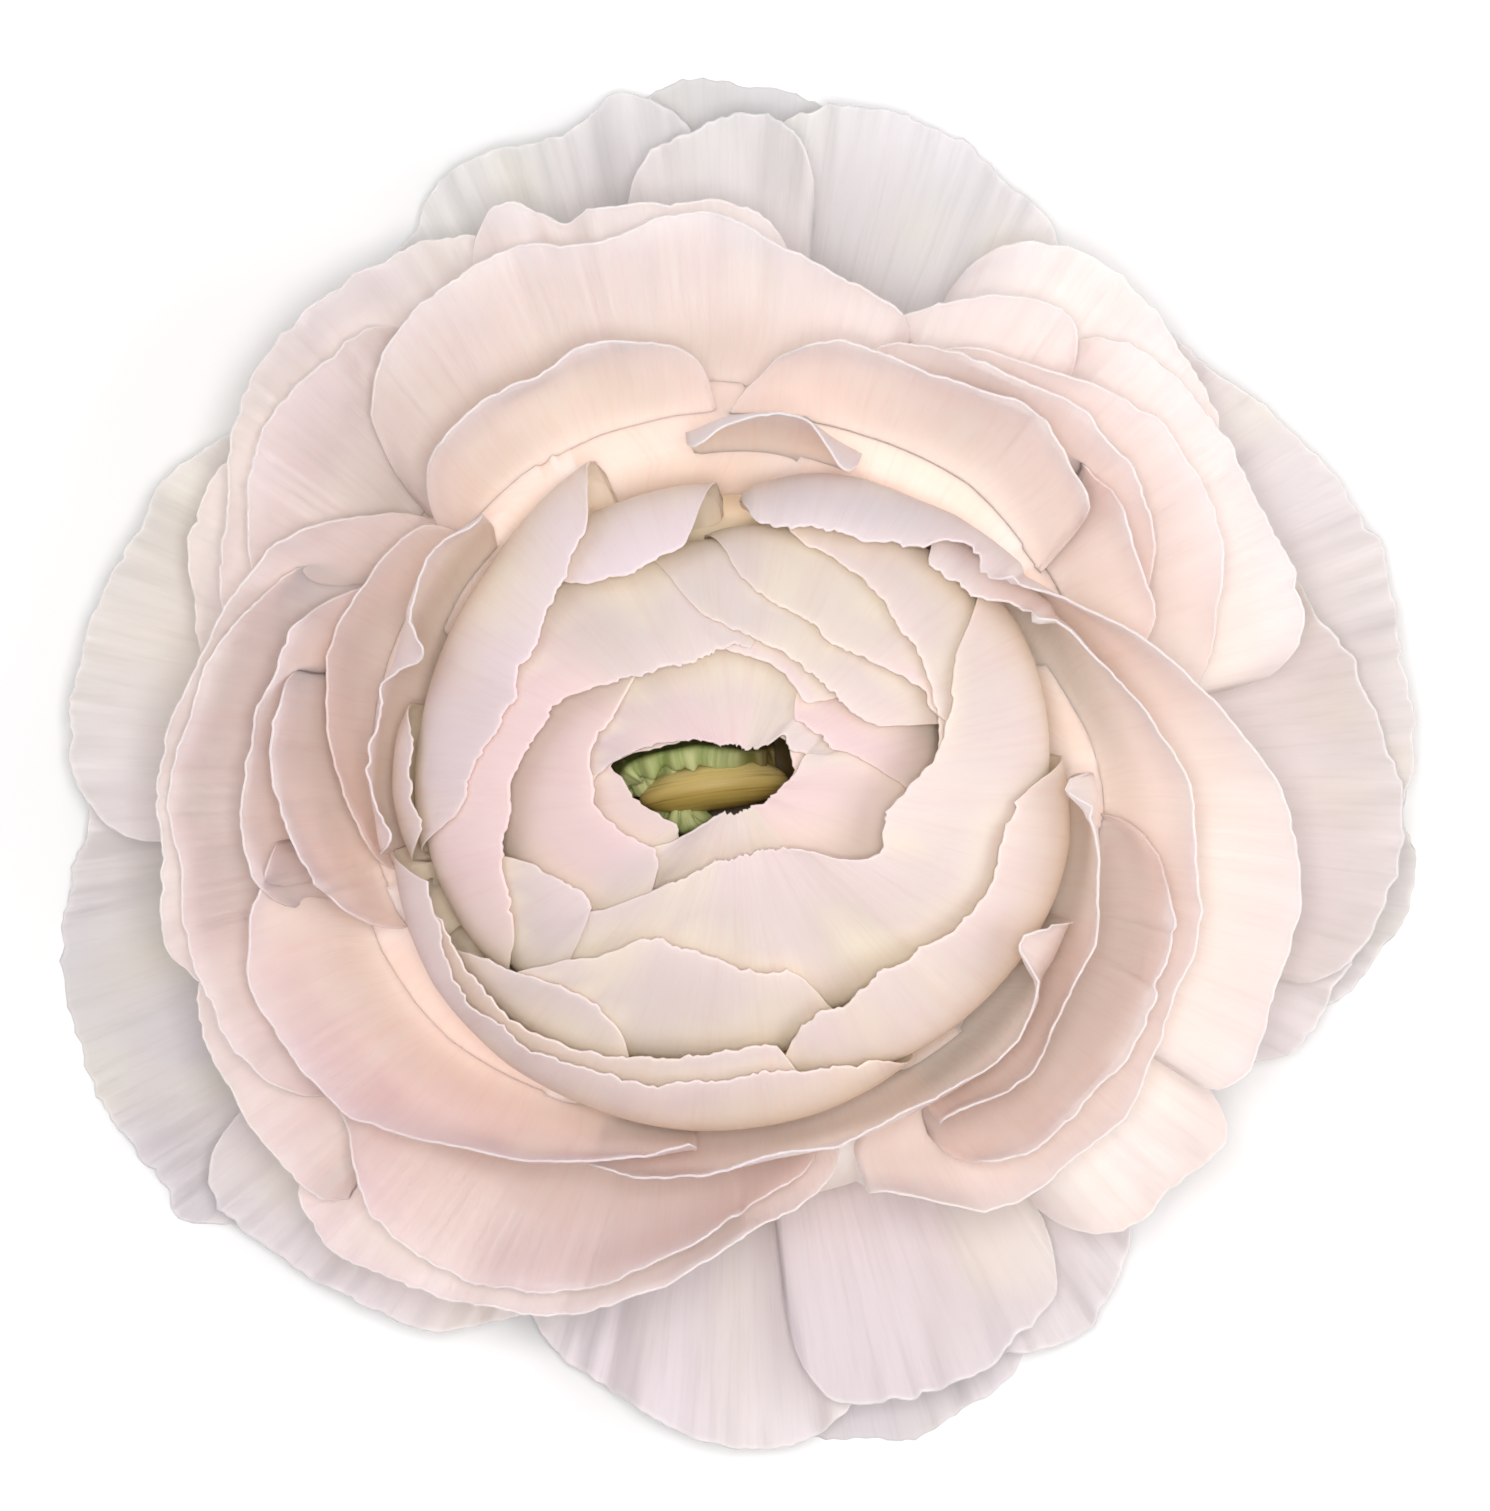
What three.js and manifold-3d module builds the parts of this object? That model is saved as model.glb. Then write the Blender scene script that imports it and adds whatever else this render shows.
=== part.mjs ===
// Ranunculus bloom, picked just under its head and lying face up on its outer petals. Units are
// millimetres, Z is up, and azimuths run counter-clockwise from +X as seen from above.
//
// All petals lie on one family of nested cups, called shells. A shell's number is the radius of
// its rim where the bloom is open (24 and more), and about its widest radius where it closes
// inwards. Each petal follows the shells through a few margin points [azimuth, rim radius,
// shell], so that neighbours slide past one another without crossing.
import * as THREE from 'three';
import Module from 'manifold-3d';

const wasm = await Module();
wasm.setup();

const DEG = Math.PI / 180;

// ---- driving dimensions ----
const BLADE = 0.6;
const SEPAL = 0.8;
const CORE_SIDES = 18;
const WELD = 0.004;
const SPECK = 0.01;
const STEM_R = 2.9;
const STEM_CUT_Z = 0.5;
const SEPAL_COUNT = 5;
const SEPAL_HALF_WIDTH = 4.6;

// Ribs of the shells, [radius, height] from the root to the rim.
const SHELLS = [
  { shell: 6, rib: [[2.4, 16.5], [4.4, 19], [6, 23.5], [5.8, 28], [2, 31.5]] },
  { shell: 10, rib: [[3, 15.6], [7, 17], [10, 22], [9.8, 28], [3, 32.6]] },
  { shell: 14, rib: [[3.5, 14.6], [9.5, 15.6], [13.8, 21], [13.8, 27.6], [4.5, 33.6]] },
  { shell: 18, rib: [[4, 13.6], [11.8, 14.4], [17.4, 20.2], [18, 27], [7, 34.4]] },
  { shell: 20, rib: [[4.2, 13], [12.8, 13.6], [19.2, 19.8], [20.3, 26.6], [9, 34.6]] },
  { shell: 22, rib: [[4.4, 12.4], [13.8, 13], [20.8, 19], [22.4, 26], [13, 34]] },
  { shell: 24, rib: [[4.6, 11.8], [14.8, 12.2], [22, 18], [24.4, 25], [24, 31]] },
  { shell: 27, rib: [[4.8, 11.2], [16, 11.4], [23.6, 17], [26.8, 23.6], [27, 29.5]] },
  { shell: 30, rib: [[5, 10.6], [17, 10.6], [25, 15.8], [29, 22], [30, 28]] },
  { shell: 34, rib: [[5.2, 9.8], [18, 9.4], [27, 13.6], [32, 19.4], [34, 25]] },
  { shell: 38, rib: [[5.4, 9], [18.6, 8], [29, 11], [35, 15.8], [38, 21]] },
  { shell: 41, rib: [[5.6, 8.4], [18.8, 6.8], [29.6, 8.4], [36.6, 12], [41, 16.5]] },
  { shell: 44, rib: [[5.8, 7.6], [18.4, 5.4], [29.4, 5.2], [38, 7], [44, 10.5]] },
  { shell: 47, rib: [[6, 6.8], [17.8, 4.2], [28, 2], [38, 0.7], [47, 1.6]] },
];

// ---- petals: margin points [azimuth, rim radius, shell]; the shell is the rim's if left out ----

// Pale guard petals, spread flat round the bloom.
const GUARD_PETALS = [
  [[340, 41.5, 43.8], [346, 43.6, 43.9], [351, 44.2, 44], [356, 44.4, 44], [365, 43, 43.9],
    [372, 42, 43.7], [377, 40.4, 43.5], [384, 38.5, 43.4]],
  [[325, 36.5, 44.8], [331, 38.2, 44.8], [334, 40.9, 45], [339, 42.2, 45.2], [346, 43, 45.4],
    [354, 43, 45.6]],
  [[337, 41.5, 47.2], [341, 43.4, 47.4], [345, 44.4, 47.5], [350, 45.7, 47.5], [358, 44.7, 47.3],
    [364, 43.6, 47]],
  [[355, 43.5, 45.2], [359, 44.6, 45.2], [365, 45.4, 45.4], [374, 45.5, 45.6], [385, 45.2, 45.6],
    [395, 43.4, 45.4], [405, 41.8, 45], [413, 41, 44.6], [420, 40, 44.6]],
  [[50, 39.8, 45.8], [58, 41.2, 45.8], [61, 43.5, 45.8], [67, 44.2, 45.9], [73, 45.5, 46],
    [78, 46.3, 46.1], [83, 45.8, 46.1], [90, 42, 46]],
  [[79, 44.3, 47.4], [85, 46.3, 47.6], [89, 46.7, 47.6], [93, 47.2, 47.6], [97, 46.3, 47.4],
    [103, 44.3, 47.2]],
  [[82, 42.4, 44.2], [84.5, 44, 44.4], [88, 44.6, 44.6], [92, 44.2, 44.6], [96, 43, 44.4],
    [101, 41.5, 44.2]],
  [[92, 43.4, 46], [97, 45.8, 46], [100, 46.4, 46], [105, 45, 45.8], [110, 45.5, 45.9],
    [116, 44.7, 45.8], [120, 42.3, 45.6], [130, 41, 45.2]],
  [[113, 40, 46.8], [125, 41.2, 46.9], [137, 41, 46.8], [151, 39.5, 46.6]],
  [[140, 39.2, 45], [145, 40.9, 45], [151, 42.7, 45], [160, 43.8, 45.2], [172, 44.5, 45.4],
    [179, 43.8, 45.2], [186, 42, 45]],
  [[173, 42, 46.8], [178, 43.4, 46.9], [182, 43.3, 47], [188, 44.8, 47.2], [194, 46.2, 47.4],
    [203, 47.2, 47.6], [209, 47.5, 47.6], [215, 46.7, 47.5], [218, 47, 47.4], [221, 44.5, 47.2],
    [226, 42, 47]],
  [[213, 42.5, 45.6], [219, 44.4, 45.8], [225, 43.6, 45.7], [234, 42.8, 45.5], [241, 41.8, 45.2],
    [245, 39.7, 44.8], [249, 37.6, 44.6], [254, 36, 44.4]],
  [[243, 36.5, 46], [249, 38, 46], [253, 39.8, 45.8], [258, 40.9, 45.7], [263, 42.9, 45.6],
    [267, 43.9, 45.6], [272, 44.2, 45.6], [277, 43.4, 45.4], [283, 42, 45.2]],
  [[270, 42.5, 47.4], [275, 43.6, 47.5], [281, 44.4, 47.6], [286, 45.2, 47.6], [290, 44.5, 47.5],
    [294, 43.9, 47.3], [299, 42.4, 47]],
  [[275.5, 39.6, 43.8], [279, 41.4, 43.8], [285, 42.2, 43.8], [291, 42.5, 43.9], [297, 41.6, 43.8],
    [302, 40, 43.7], [306, 37.4, 43.6]],
  [[291, 40.5, 45.8], [297.5, 42.6, 45.8], [302, 43.1, 45.8], [306, 42.2, 45.6], [310, 40.8, 45.4],
    [313, 39.1, 45.2], [318, 38, 45]],
  [[306, 37.5, 46.4], [320, 38.2, 46.6], [333, 37.4, 46.4]],
];

// Peach and pink cup petals, which stand round the heart.
const CUP_PETALS = [
  [[32, 23.4, 28.4], [34.5, 25.6, 28.8], [37.5, 29.4, 29.6], [43, 30.4], [51, 31.4], [60, 30.6],
    [70, 29.7], [79, 29.6], [84, 28.6, 29], [87, 26.8, 28.6], [91, 25, 28.2], [96, 23.2, 27.8]],
  [[18, 29.4, 29.8], [26, 30.3, 30.6], [35, 31.3, 31.4], [46, 31, 32.4], [55, 30, 32.4]],
  [[16, 27, 32.2], [21, 28.6, 32.4], [29, 31.9, 32.8], [41, 33.4], [50, 33.3], [60, 32.5],
    [69, 31, 31.8], [76, 30, 31.4]],
  [[9, 31, 34.6], [14, 32.2, 34.8], [20, 34.2, 35], [25, 35.6], [33, 36.4], [41, 36.6],
    [51, 35, 35.2], [61, 32.9, 33.8], [68, 31.5, 33.4]],
  [[11, 38.6, 39.2], [17, 39.6], [30, 39.2], [38, 39.6], [46, 39.8], [51, 38.3, 39.2],
    [54, 35.6, 38.6], [58, 34, 38.4]],
  [[48, 34, 37.2], [52, 37, 37.6], [55, 38, 38.2], [61, 36.7, 37.4], [67, 34.5, 36.6],
    [70, 33.2, 36.4], [76, 32, 36.2]],
  [[32, 39, 41.4], [39, 40.6, 41.6], [45, 41.8, 41.8], [56, 42, 41.8], [60, 41.3, 41.6],
    [67, 39.5, 41.4]],
  [[66, 31.5, 35.2], [70, 33.2, 35.2], [76, 34.1, 35.3], [84, 35.6], [93, 37.4], [104, 37.2],
    [113, 38.3], [122, 37.8], [129, 36.6], [134.5, 34.6, 35.8], [137.5, 31.6, 34.8],
    [140, 28.4, 34.2]],
  [[83, 37.4, 39.4], [94, 38.6, 39.4], [104, 39.5], [107, 38.8, 39.8], [111, 41.2, 40.6],
    [115, 40.3, 40.8], [119, 38.6, 40.6]],
  [[92, 26.8, 29], [94, 28.5, 29.4], [98, 29.3, 29.8], [104, 29.8], [111, 30.4], [125, 30],
    [134, 29, 29.2], [139, 27, 28.8], [141.5, 25, 28.4]],
  [[111, 39, 41.9], [117, 40.6, 42], [121, 41.6, 42], [131, 42.6, 42], [138, 41.8], [145, 40.5],
    [151, 38.4, 39.6], [159, 36.6, 38.8], [165, 35.5, 38.6]],
  [[124, 38, 39.4], [131, 39.2, 39.5], [140, 39.2, 39.4], [147, 37.9], [153, 36, 37],
    [160, 34.5, 36.6]],
  [[136, 26, 31.4], [140, 28.4, 31.6], [147, 32, 33], [155, 34.6, 35], [164, 36, 36.2],
    [173, 37.3], [185, 38.3], [195, 39, 39], [199, 38.1, 38.8], [204, 37, 38.5]],
  [[144, 27, 32.2], [148, 28.8, 32.4], [152.5, 31.6, 33.2], [159, 33.8, 34.2], [169, 36, 35.8],
    [182, 37], [195, 37.6], [207, 37.3], [213, 36.1, 36.8], [219, 35, 36.5]],
  [[147, 26.6, 29.6], [152.5, 28.3, 29.8], [160, 30.5], [168, 31.4], [175, 32.2], [184, 32.4],
    [192, 31.9], [198, 30.4, 31.4]],
  [[163, 29.8, 30], [169, 30.4], [175, 30.9], [182.5, 30.2], [190, 28.6], [195, 27.3],
    [204, 25.3]],
  [[135, 25.2, 27.2], [140, 26.9, 27.8], [150, 28, 28.4], [160, 28, 28.4], [174, 26.9, 27.3],
    [181, 26, 26.4], [188, 24.9, 25.4], [196, 24.4, 25]],
  [[142, 38.8, 42], [148, 39.9, 42.1], [155, 40, 42.1], [163, 37.6, 41.8], [170, 36.6, 41.6]],
  [[216, 33.6, 35], [222, 34.6, 35.4], [224.5, 35.9, 36.2], [230, 37], [241, 37], [254, 34.6],
    [262, 31.6], [270, 28.6], [277, 26.6], [284, 25.4, 25.7]],
  [[195, 36.8, 40.2], [203, 38.4, 40], [214, 39.1, 39.7], [220, 39.4, 39.6], [228, 39, 39.2]],
  [[219, 39.2, 40.8], [226, 40, 40.6], [230, 40.4], [241, 38.7], [252, 36.9], [262, 33.5],
    [271, 29.8], [279, 27.6], [287, 26.2, 26.8]],
  [[305, 37.8, 40], [312, 39.2, 40.2], [318, 39.1, 40], [324.5, 40.1, 40.4], [329, 38, 40]],
  [[299, 28.8, 28.9], [305, 30], [312, 30.9], [320, 31.4], [330, 31, 30.8], [339, 30.7, 30.4],
    [347, 29.2, 29.3], [356, 27.4, 27.8]],
];

// Petals of the same kind whose one end curls in over the heart.
const SPIRAL_PETALS = [
  [[288, 28.2], [293, 29.5], [300, 32.4], [305, 32.9], [319, 33.9], [326, 32.7], [335, 32],
    [345, 31.9], [352, 31], [360, 29.8], [367, 27.9], [375, 26.1], [385, 24.2, 24.4],
    [390, 23.1, 23.8], [398, 20.3, 22.3], [405, 19.2, 21.1], [412, 18.2, 20.3]],
  [[327, 37.8], [331, 38.8], [345, 38.3], [353, 37.2], [360, 35.8], [370, 32.2], [381, 28.1],
    [390, 24.7, 25.2], [398, 22.2, 23.6], [407, 20.5, 22.3], [417, 19, 21.4], [427, 17.8, 20.7],
    [435, 16.9, 20.1], [442, 17.1, 19.5], [448, 17.7, 19]],
  [[133, 23.8, 24.8], [141, 24.8], [151, 24.3], [160, 23.8], [171, 23.4], [178, 23.8],
    [185, 23.6], [191, 23, 23.6]],
  [[187, 30, 32.6], [192, 31.9, 33.2], [195, 33.4, 33.8], [203, 34.6], [214, 33.8], [222, 33],
    [229, 31.2], [236, 29.5], [244, 27.5], [252, 25.6], [258, 24.7, 24.9], [264, 23.6, 24.3]],
  [[301, 25.9], [308, 26.4], [313, 26.8], [322, 26.7], [331, 25.9], [340, 25.2],
    [350, 23.9, 24.4], [355, 23.3, 24], [362, 22.1, 23.5]],
  [[249, 26.4], [256, 26.3], [265, 25.7], [277, 24.6], [290, 24.2], [307, 24.6], [314, 24.8],
    [325, 24.2], [331, 22.9, 23.8], [338, 21.8, 23.5]],
  [[69, 22, 24.8], [74, 22.9, 24.8], [78, 24, 24.8], [85, 24.3, 24.8], [92, 23.8, 24.6],
    [98, 22.4, 24.4]],
];

// Cream petals of the heart, which close over one another like a cabbage.
const HEART_PETALS = [
  [[190, 21.8, 22], [196, 21.4, 22.4], [204, 21.9, 23], [213, 22.3, 23.3], [231, 21.8, 23.2],
    [245, 20.9, 22.6], [262, 19.6, 22], [275, 19, 21.6], [285, 19.4, 21.3], [295, 20.2, 20.9],
    [304, 20, 20.4]],
  [[197, 20.9, 21.4], [203, 21.3, 21.9], [213, 21.4, 22.1], [231, 21, 22], [240, 20.2, 21.5],
    [250, 19.1, 21], [262, 17.7, 20.6], [275, 17.2, 20.2], [286, 17.8, 19.9]],
  [[275, 18.2, 18.6], [284, 16.6, 19], [290, 15.9, 19.4], [296, 16.2, 19.7], [305, 15.5, 20.1],
    [314, 16.1, 20.5], [328, 17.2, 21], [341, 18, 21.4], [350, 18.2, 21.4], [358, 18.7, 21],
    [366, 19.4, 20.6]],
  [[212, 14.4, 17.6], [217, 13.2, 17.6], [221.6, 12.5, 17.6], [227, 10.3, 17.2], [234, 8.1, 16.6],
    [247, 5.9, 15.7], [262, 4.9, 15.3], [275, 4.6, 15.3], [284, 4.5, 15.4], [297, 4.8, 15.8],
    [310, 5.3, 16.6], [320, 6.8, 17.6], [327, 9, 18.4], [332, 10.2, 18.8], [340, 10.3, 19.2],
    [350, 10.2, 19.5], [358, 11, 19.6], [364, 12.1, 19.7], [368, 13.2, 19.8], [375, 14.2, 20],
    [383, 15.4, 20.3], [390, 16.9, 20.4], [396, 18.6, 20.2], [402, 19.3, 20]],
  [[9, 14, 18.6], [20, 14.2, 19], [35, 14.8, 19.2], [46, 14.9, 19.2], [56, 15.8, 18.9],
    [64, 16.1, 18.4], [73, 16.5, 17.9], [80, 16.9, 17.6], [85, 17.3, 17.6]],
  [[358, 13, 17.2], [371, 13.5, 17.8], [381, 13.9, 18], [390, 13.4, 18], [402, 12.1, 17.9],
    [417, 11.3, 17.5], [425, 11.8, 17.2], [440, 12.4, 16.6], [450, 13.5, 16.2], [458, 15, 15.8]],
  [[92.5, 18.5, 19.1], [95, 17.8, 19.1], [99, 16.6, 19.1], [105, 15.8, 19.1], [112, 15.4, 19.1],
    [117, 15.3, 19.2], [123, 16, 19.3], [130, 17.2, 19.4], [137, 18.6, 19.5]],
  [[74, 9.8, 14.9], [84, 9.1, 14.8], [96, 8.8, 14.9], [104, 8.7, 15.1], [112, 8.6, 15.6],
    [120, 8.8, 16.4], [135, 9.8, 17.8], [145, 11.1, 18.8], [155, 12.7, 19.3], [166, 13.6, 19.5],
    [180, 14.6, 19.6], [195, 15.6, 19.5], [210, 17, 19.2], [223, 18.2, 18.6]],
  [[165, 20.8, 21.3], [171, 21.3, 21.6], [181, 21.3, 21.6], [187, 20.6, 21.3], [194, 19.6, 20.8]],
  [[207, 20.4, 20.7], [211, 20.2, 20.7], [221, 18.8, 20.4], [228, 17.4, 20.2], [235, 17, 19.9],
    [243, 17.7, 19.6], [249, 18.6, 19.5], [254, 19.3, 19.5]],
  [[216, 17.8, 19.6], [223, 16.6, 19.5], [230, 14.6, 19.3], [236, 12.6, 19.1], [242, 11.5, 18.8],
    [248, 11.1, 18.3], [256, 11.2, 17.8], [265, 11.5, 17.4], [275, 12.1, 17.1], [284, 12.6, 16.8],
    [291, 13, 16.7], [297, 14.2, 16.8]],
  [[190, 15.6, 18.2], [198, 14.6, 18.3], [206, 13.4, 18.3], [213, 12.4, 18.2], [220, 12.1, 18],
    [226, 12.8, 17.9], [231, 13.9, 17.8]],
  [[349, 10.5, 12.8], [361, 10, 13], [369, 8.8, 13.2], [380, 6.9, 13.4], [395, 6.2, 13.4],
    [410, 6, 13.2], [425, 6.6, 12.8]],
  [[13, 11.4, 15.4], [20, 10.2, 15.8], [30, 9.1, 16.1], [50, 8.7, 16.1], [65, 9, 16],
    [82, 9.6, 15.7], [96, 10.7, 15.5], [104, 12.3, 15.5], [110, 14.2, 15.7], [114, 15.6, 16]],
  [[33, 6.5, 14.2], [50, 6.9, 14.5], [60, 7.6, 14.6], [70, 8.3, 14.6], [82, 8.5, 14.5],
    [95, 8.6, 14.4], [112, 9, 14.6]],
  [[28, 3.8, 10.2], [45, 3.4, 10.6], [60, 2.7, 11], [90, 2.4, 11.6], [115, 3, 12.2],
    [135, 4.1, 12.6], [152, 5.2, 12.8], [163, 6.4, 13], [172, 8, 13.2]],
  [[120, 3.9, 11], [145, 4.8, 11.4], [155, 5.7, 11.6], [165, 7.4, 11.8], [171, 8.2, 11.8],
    [182, 7.3, 11.8], [190, 6.1, 11.6], [205, 5.1, 11.2], [220, 4.8, 10.8], [236, 3.4, 10.2]],
  [[112, 10.2, 14.2], [125, 9.8, 14.2], [138, 9.5, 14.2], [152, 9.2, 14.4], [165, 9.6, 14.8],
    [180, 9.4, 15.1], [195, 8.4, 15.3], [210, 7.2, 15.2], [224, 6, 14.6]],
  [[208, 6, 12.8], [225, 4.4, 12.4], [240, 3, 12], [265, 1.8, 11.6], [300, 1.7, 11.4],
    [335, 2, 11.6], [350, 2.6, 11.4], [365, 3.8, 11.2], [381, 4.4, 11]],
  [[332, 2.4, 9.4], [345, 2.6, 9.2], [360, 3.6, 9], [375, 3.9, 8.8], [390, 3.8, 8.8],
    [405, 3.6, 8.8], [417, 3.2, 9]],
  [[112.6, 22.4, 22.8], [114, 22.6, 22.9], [116, 21, 22.6], [119, 19.8, 22.2], [123, 19, 21.8],
    [130, 17.6, 21.2], [138, 16.7, 20.6], [147, 15.9, 20.3], [158, 15.6, 20.1], [170, 16.4, 20],
    [182, 17.6, 20], [193, 19.2, 20]],
];

// How each kind of petal is built. Columns are per petal, one for so many degrees.
const GUARD = {
  table: GUARD_PETALS,
  degreesPerColumn: 6,
  rows: 4,
  root: 0.16,
  claw: 0.72,
  drop: 0.16,
  shells: [43.4, 47.6],
  fold: [44.4, 47],
  opening: [0.25, 0.55],
  ripple: 0.3,
  rippleEvery: 26,
  curled: false,
};
const CUP = {
  table: CUP_PETALS,
  degreesPerColumn: 10.5,
  rows: 3,
  root: 0.42,
  claw: 0.88,
  drop: 0.3,
  shells: [19, 42.1],
  fold: [24.6, 38],
  opening: [0.3, 1],
  ripple: 0.25,
  rippleEvery: 29,
  curled: false,
};
const SPIRAL = { ...CUP, table: SPIRAL_PETALS, opening: [0.35, 0.85], curled: true };
const HEART = {
  table: HEART_PETALS,
  degreesPerColumn: 17,
  rows: 3,
  root: 0.38,
  claw: 0.94,
  drop: 0.22,
  shells: [8.8, 23.3],
  fold: [8, 21.8],
  opening: [0.25, 0.55],
  ripple: 0.08,
  rippleEvery: 37,
  curled: true,
};

// ---- small maths ----
const lerp = (a, b, t) => a + (b - a) * t;
const clamp = (x, lo, hi) => Math.min(hi, Math.max(lo, x));

function smooth(lo, hi, x) {
  const t = clamp((x - lo) / (hi - lo), 0, 1);
  return t * t * (3 - 2 * t);
}

function catmull(a, b, c, d, t) {
  const t2 = t * t;
  const t3 = t2 * t;
  return 0.5 * (2 * b + (c - a) * t + (2 * a - 5 * b + 4 * c - d) * t2
    + (3 * b - a - 3 * c + d) * t3);
}

// A draw in 0..1 that depends only on its seeds.
function draw(a, b) {
  const x = Math.sin(a * 127.1 + b * 311.7) * 43758.5453;
  return x - Math.floor(x);
}

// ---- shells ----
// The rib of any shell, mixed from the two nearest drawn ones.
function ribOf(shell) {
  let i = 0;
  while (i < SHELLS.length - 2 && shell > SHELLS[i + 1].shell) {
    i += 1;
  }
  const a = SHELLS[i];
  const b = SHELLS[i + 1];
  const t = (shell - a.shell) / (b.shell - a.shell);
  return a.rib.map((p, k) => [lerp(p[0], b.rib[k][0], t), lerp(p[1], b.rib[k][1], t)]);
}

// The point [radius, height] at share v of a rib, past 1 straight on.
function onRib(rib, v) {
  const last = rib.length - 1;
  const at = Math.min(v, 1) * last;
  const i = clamp(Math.floor(at), 0, last - 1);
  const t = at - i;
  const p = [rib[Math.max(i - 1, 0)], rib[i], rib[i + 1], rib[Math.min(i + 2, last)]];
  const point = [0, 1].map((k) => catmull(p[0][k], p[1][k], p[2][k], p[3][k], t));
  if (v > 1) {
    const back = onRib(rib, 0.97);
    return point.map((x, k) => x + (x - back[k]) * (v - 1) / 0.03);
  }
  return point;
}

// The share of a rib at which it reaches the rim's radius: from above where the rim closes
// inwards, and from below where the margin runs down an open petal's side.
function reach(rib, rim, curled) {
  const step = 0.02;
  const from = curled ? 1 : 0.3;
  const way = curled ? -step : step;
  if (curled && rib[rib.length - 1][0] >= rim) {
    return 1;
  }
  let before = onRib(rib, from)[0] - rim;
  for (let n = 1; n <= 42; n += 1) {
    const v = from + n * way;
    const now = onRib(rib, v)[0] - rim;
    if (before * now <= 0 && before !== now) {
      return v - way * now / (now - before);
    }
    before = now;
  }
  return 1;
}

// Rim radius and shell of a petal at an azimuth, smooth through its margin points.
function marginAt(points, azimuth) {
  let i = 0;
  while (i < points.length - 2 && azimuth > points[i + 1][0]) {
    i += 1;
  }
  const a = points[i];
  const b = points[i + 1];
  const t = (azimuth - a[0]) / (b[0] - a[0]);
  const shellOf = (p) => (p.length > 2 ? p[2] : p[1]);
  const before = points[Math.max(i - 1, 0)];
  const after = points[Math.min(i + 2, points.length - 1)];
  return {
    rim: catmull(before[1], a[1], b[1], after[1], t),
    shell: lerp(shellOf(a), shellOf(b), t),
  };
}

// ---- petals ----
// A point of the middle surface of a petal: u runs across it and w from the root to the margin.
function petalPoint(kind, points, seed, u, w) {
  const first = points[0][0];
  const last = points[points.length - 1][0];
  const azimuth = lerp(first, last, u);
  const { rim, shell } = marginAt(points, azimuth);
  const side = Math.abs(2 * u - 1);
  const turns = 2 * Math.PI * azimuth / kind.rippleEvery + 0.35 * shell;
  const wave = Math.sin(turns) + 0.5 * Math.sin(1.7 * turns + 1 + 0.5 * draw(seed, 1));
  const rib = ribOf(shell);
  const top = reach(rib, rim, kind.curled) * (1 - kind.drop * side ** 9);
  const v = lerp(kind.root, top, w);
  const bend = kind.curled ? Math.max(rib[rib.length - 1][0] - rim, 0) * smooth(0.5, 1, v) : 0;
  const share = (shell - kind.shells[0]) / (kind.shells[1] - kind.shells[0]);
  const folded = lerp(kind.fold[0], kind.fold[1], clamp(share, 0, 1));
  const level = lerp(folded, shell, smooth(...kind.opening, w))
    + kind.ripple * wave * smooth(0.45, 1, w);
  const [wide, z] = onRib(ribOf(level), v);
  const r = wide - bend;
  const middle = (first + last) / 2;
  const spread = lerp(kind.claw, 1, smooth(0, 0.45, w));
  const angle = (middle + (azimuth - middle) * spread) * DEG;
  return new THREE.Vector3(r * Math.cos(angle), r * Math.sin(angle), z);
}

// A closed blade round a middle surface, split alike on both faces. Where it reaches the surface
// it lies on, it is flat.
function blade(pointAt, columns, rows, thick) {
  const vertices = [];
  const triangles = [];
  const e = 0.004;
  const grid = (side, i, j) => side * (columns + 1) * (rows + 1) + i * (rows + 1) + j;
  const faces = [0, 1].map(() => []);
  for (let i = 0; i <= columns; i += 1) {
    for (let j = 0; j <= rows; j += 1) {
      const u = i / columns;
      const w = j / rows;
      const across = pointAt(Math.min(u + e, 1), w).sub(pointAt(Math.max(u - e, 0), w));
      const along = pointAt(u, Math.min(w + e, 1)).sub(pointAt(u, Math.max(w - e, 0)));
      const normal = across.cross(along).normalize();
      const middle = pointAt(u, w);
      [0.5, -0.5].forEach((half, side) => {
        const p = middle.clone().addScaledVector(normal, half * thick);
        const low = half * normal.z > 0 ? thick : 0;
        faces[side].push(p.x, p.y, Math.max(p.z, low));
      });
    }
  }
  vertices.push(...faces[0], ...faces[1]);
  const quad = (a, b, c, d) => triangles.push(a, b, c, a, c, d);
  for (let i = 0; i < columns; i += 1) {
    for (let j = 0; j < rows; j += 1) {
      quad(grid(0, i, j), grid(0, i + 1, j), grid(0, i + 1, j + 1), grid(0, i, j + 1));
      triangles.push(grid(1, i, j), grid(1, i + 1, j + 1), grid(1, i + 1, j));
      triangles.push(grid(1, i, j), grid(1, i, j + 1), grid(1, i + 1, j + 1));
    }
  }
  const border = [];
  for (let i = 0; i < columns; i += 1) {
    border.push([i, 0]);
  }
  for (let j = 0; j < rows; j += 1) {
    border.push([columns, j]);
  }
  for (let i = columns; i > 0; i -= 1) {
    border.push([i, rows]);
  }
  for (let j = rows; j > 0; j -= 1) {
    border.push([0, j]);
  }
  border.forEach((here, n) => {
    const next = border[(n + 1) % border.length];
    quad(grid(0, ...here), grid(1, ...here), grid(1, ...next), grid(0, ...next));
  });
  return { vertices, triangles };
}

function petalBlades(kind) {
  return kind.table.map((points, seed) => {
    const span = points[points.length - 1][0] - points[0][0];
    const columns = Math.max(4, Math.round(span / kind.degreesPerColumn));
    return blade((u, w) => petalPoint(kind, points, seed, u, w), columns, kind.rows, BLADE);
  });
}

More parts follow.
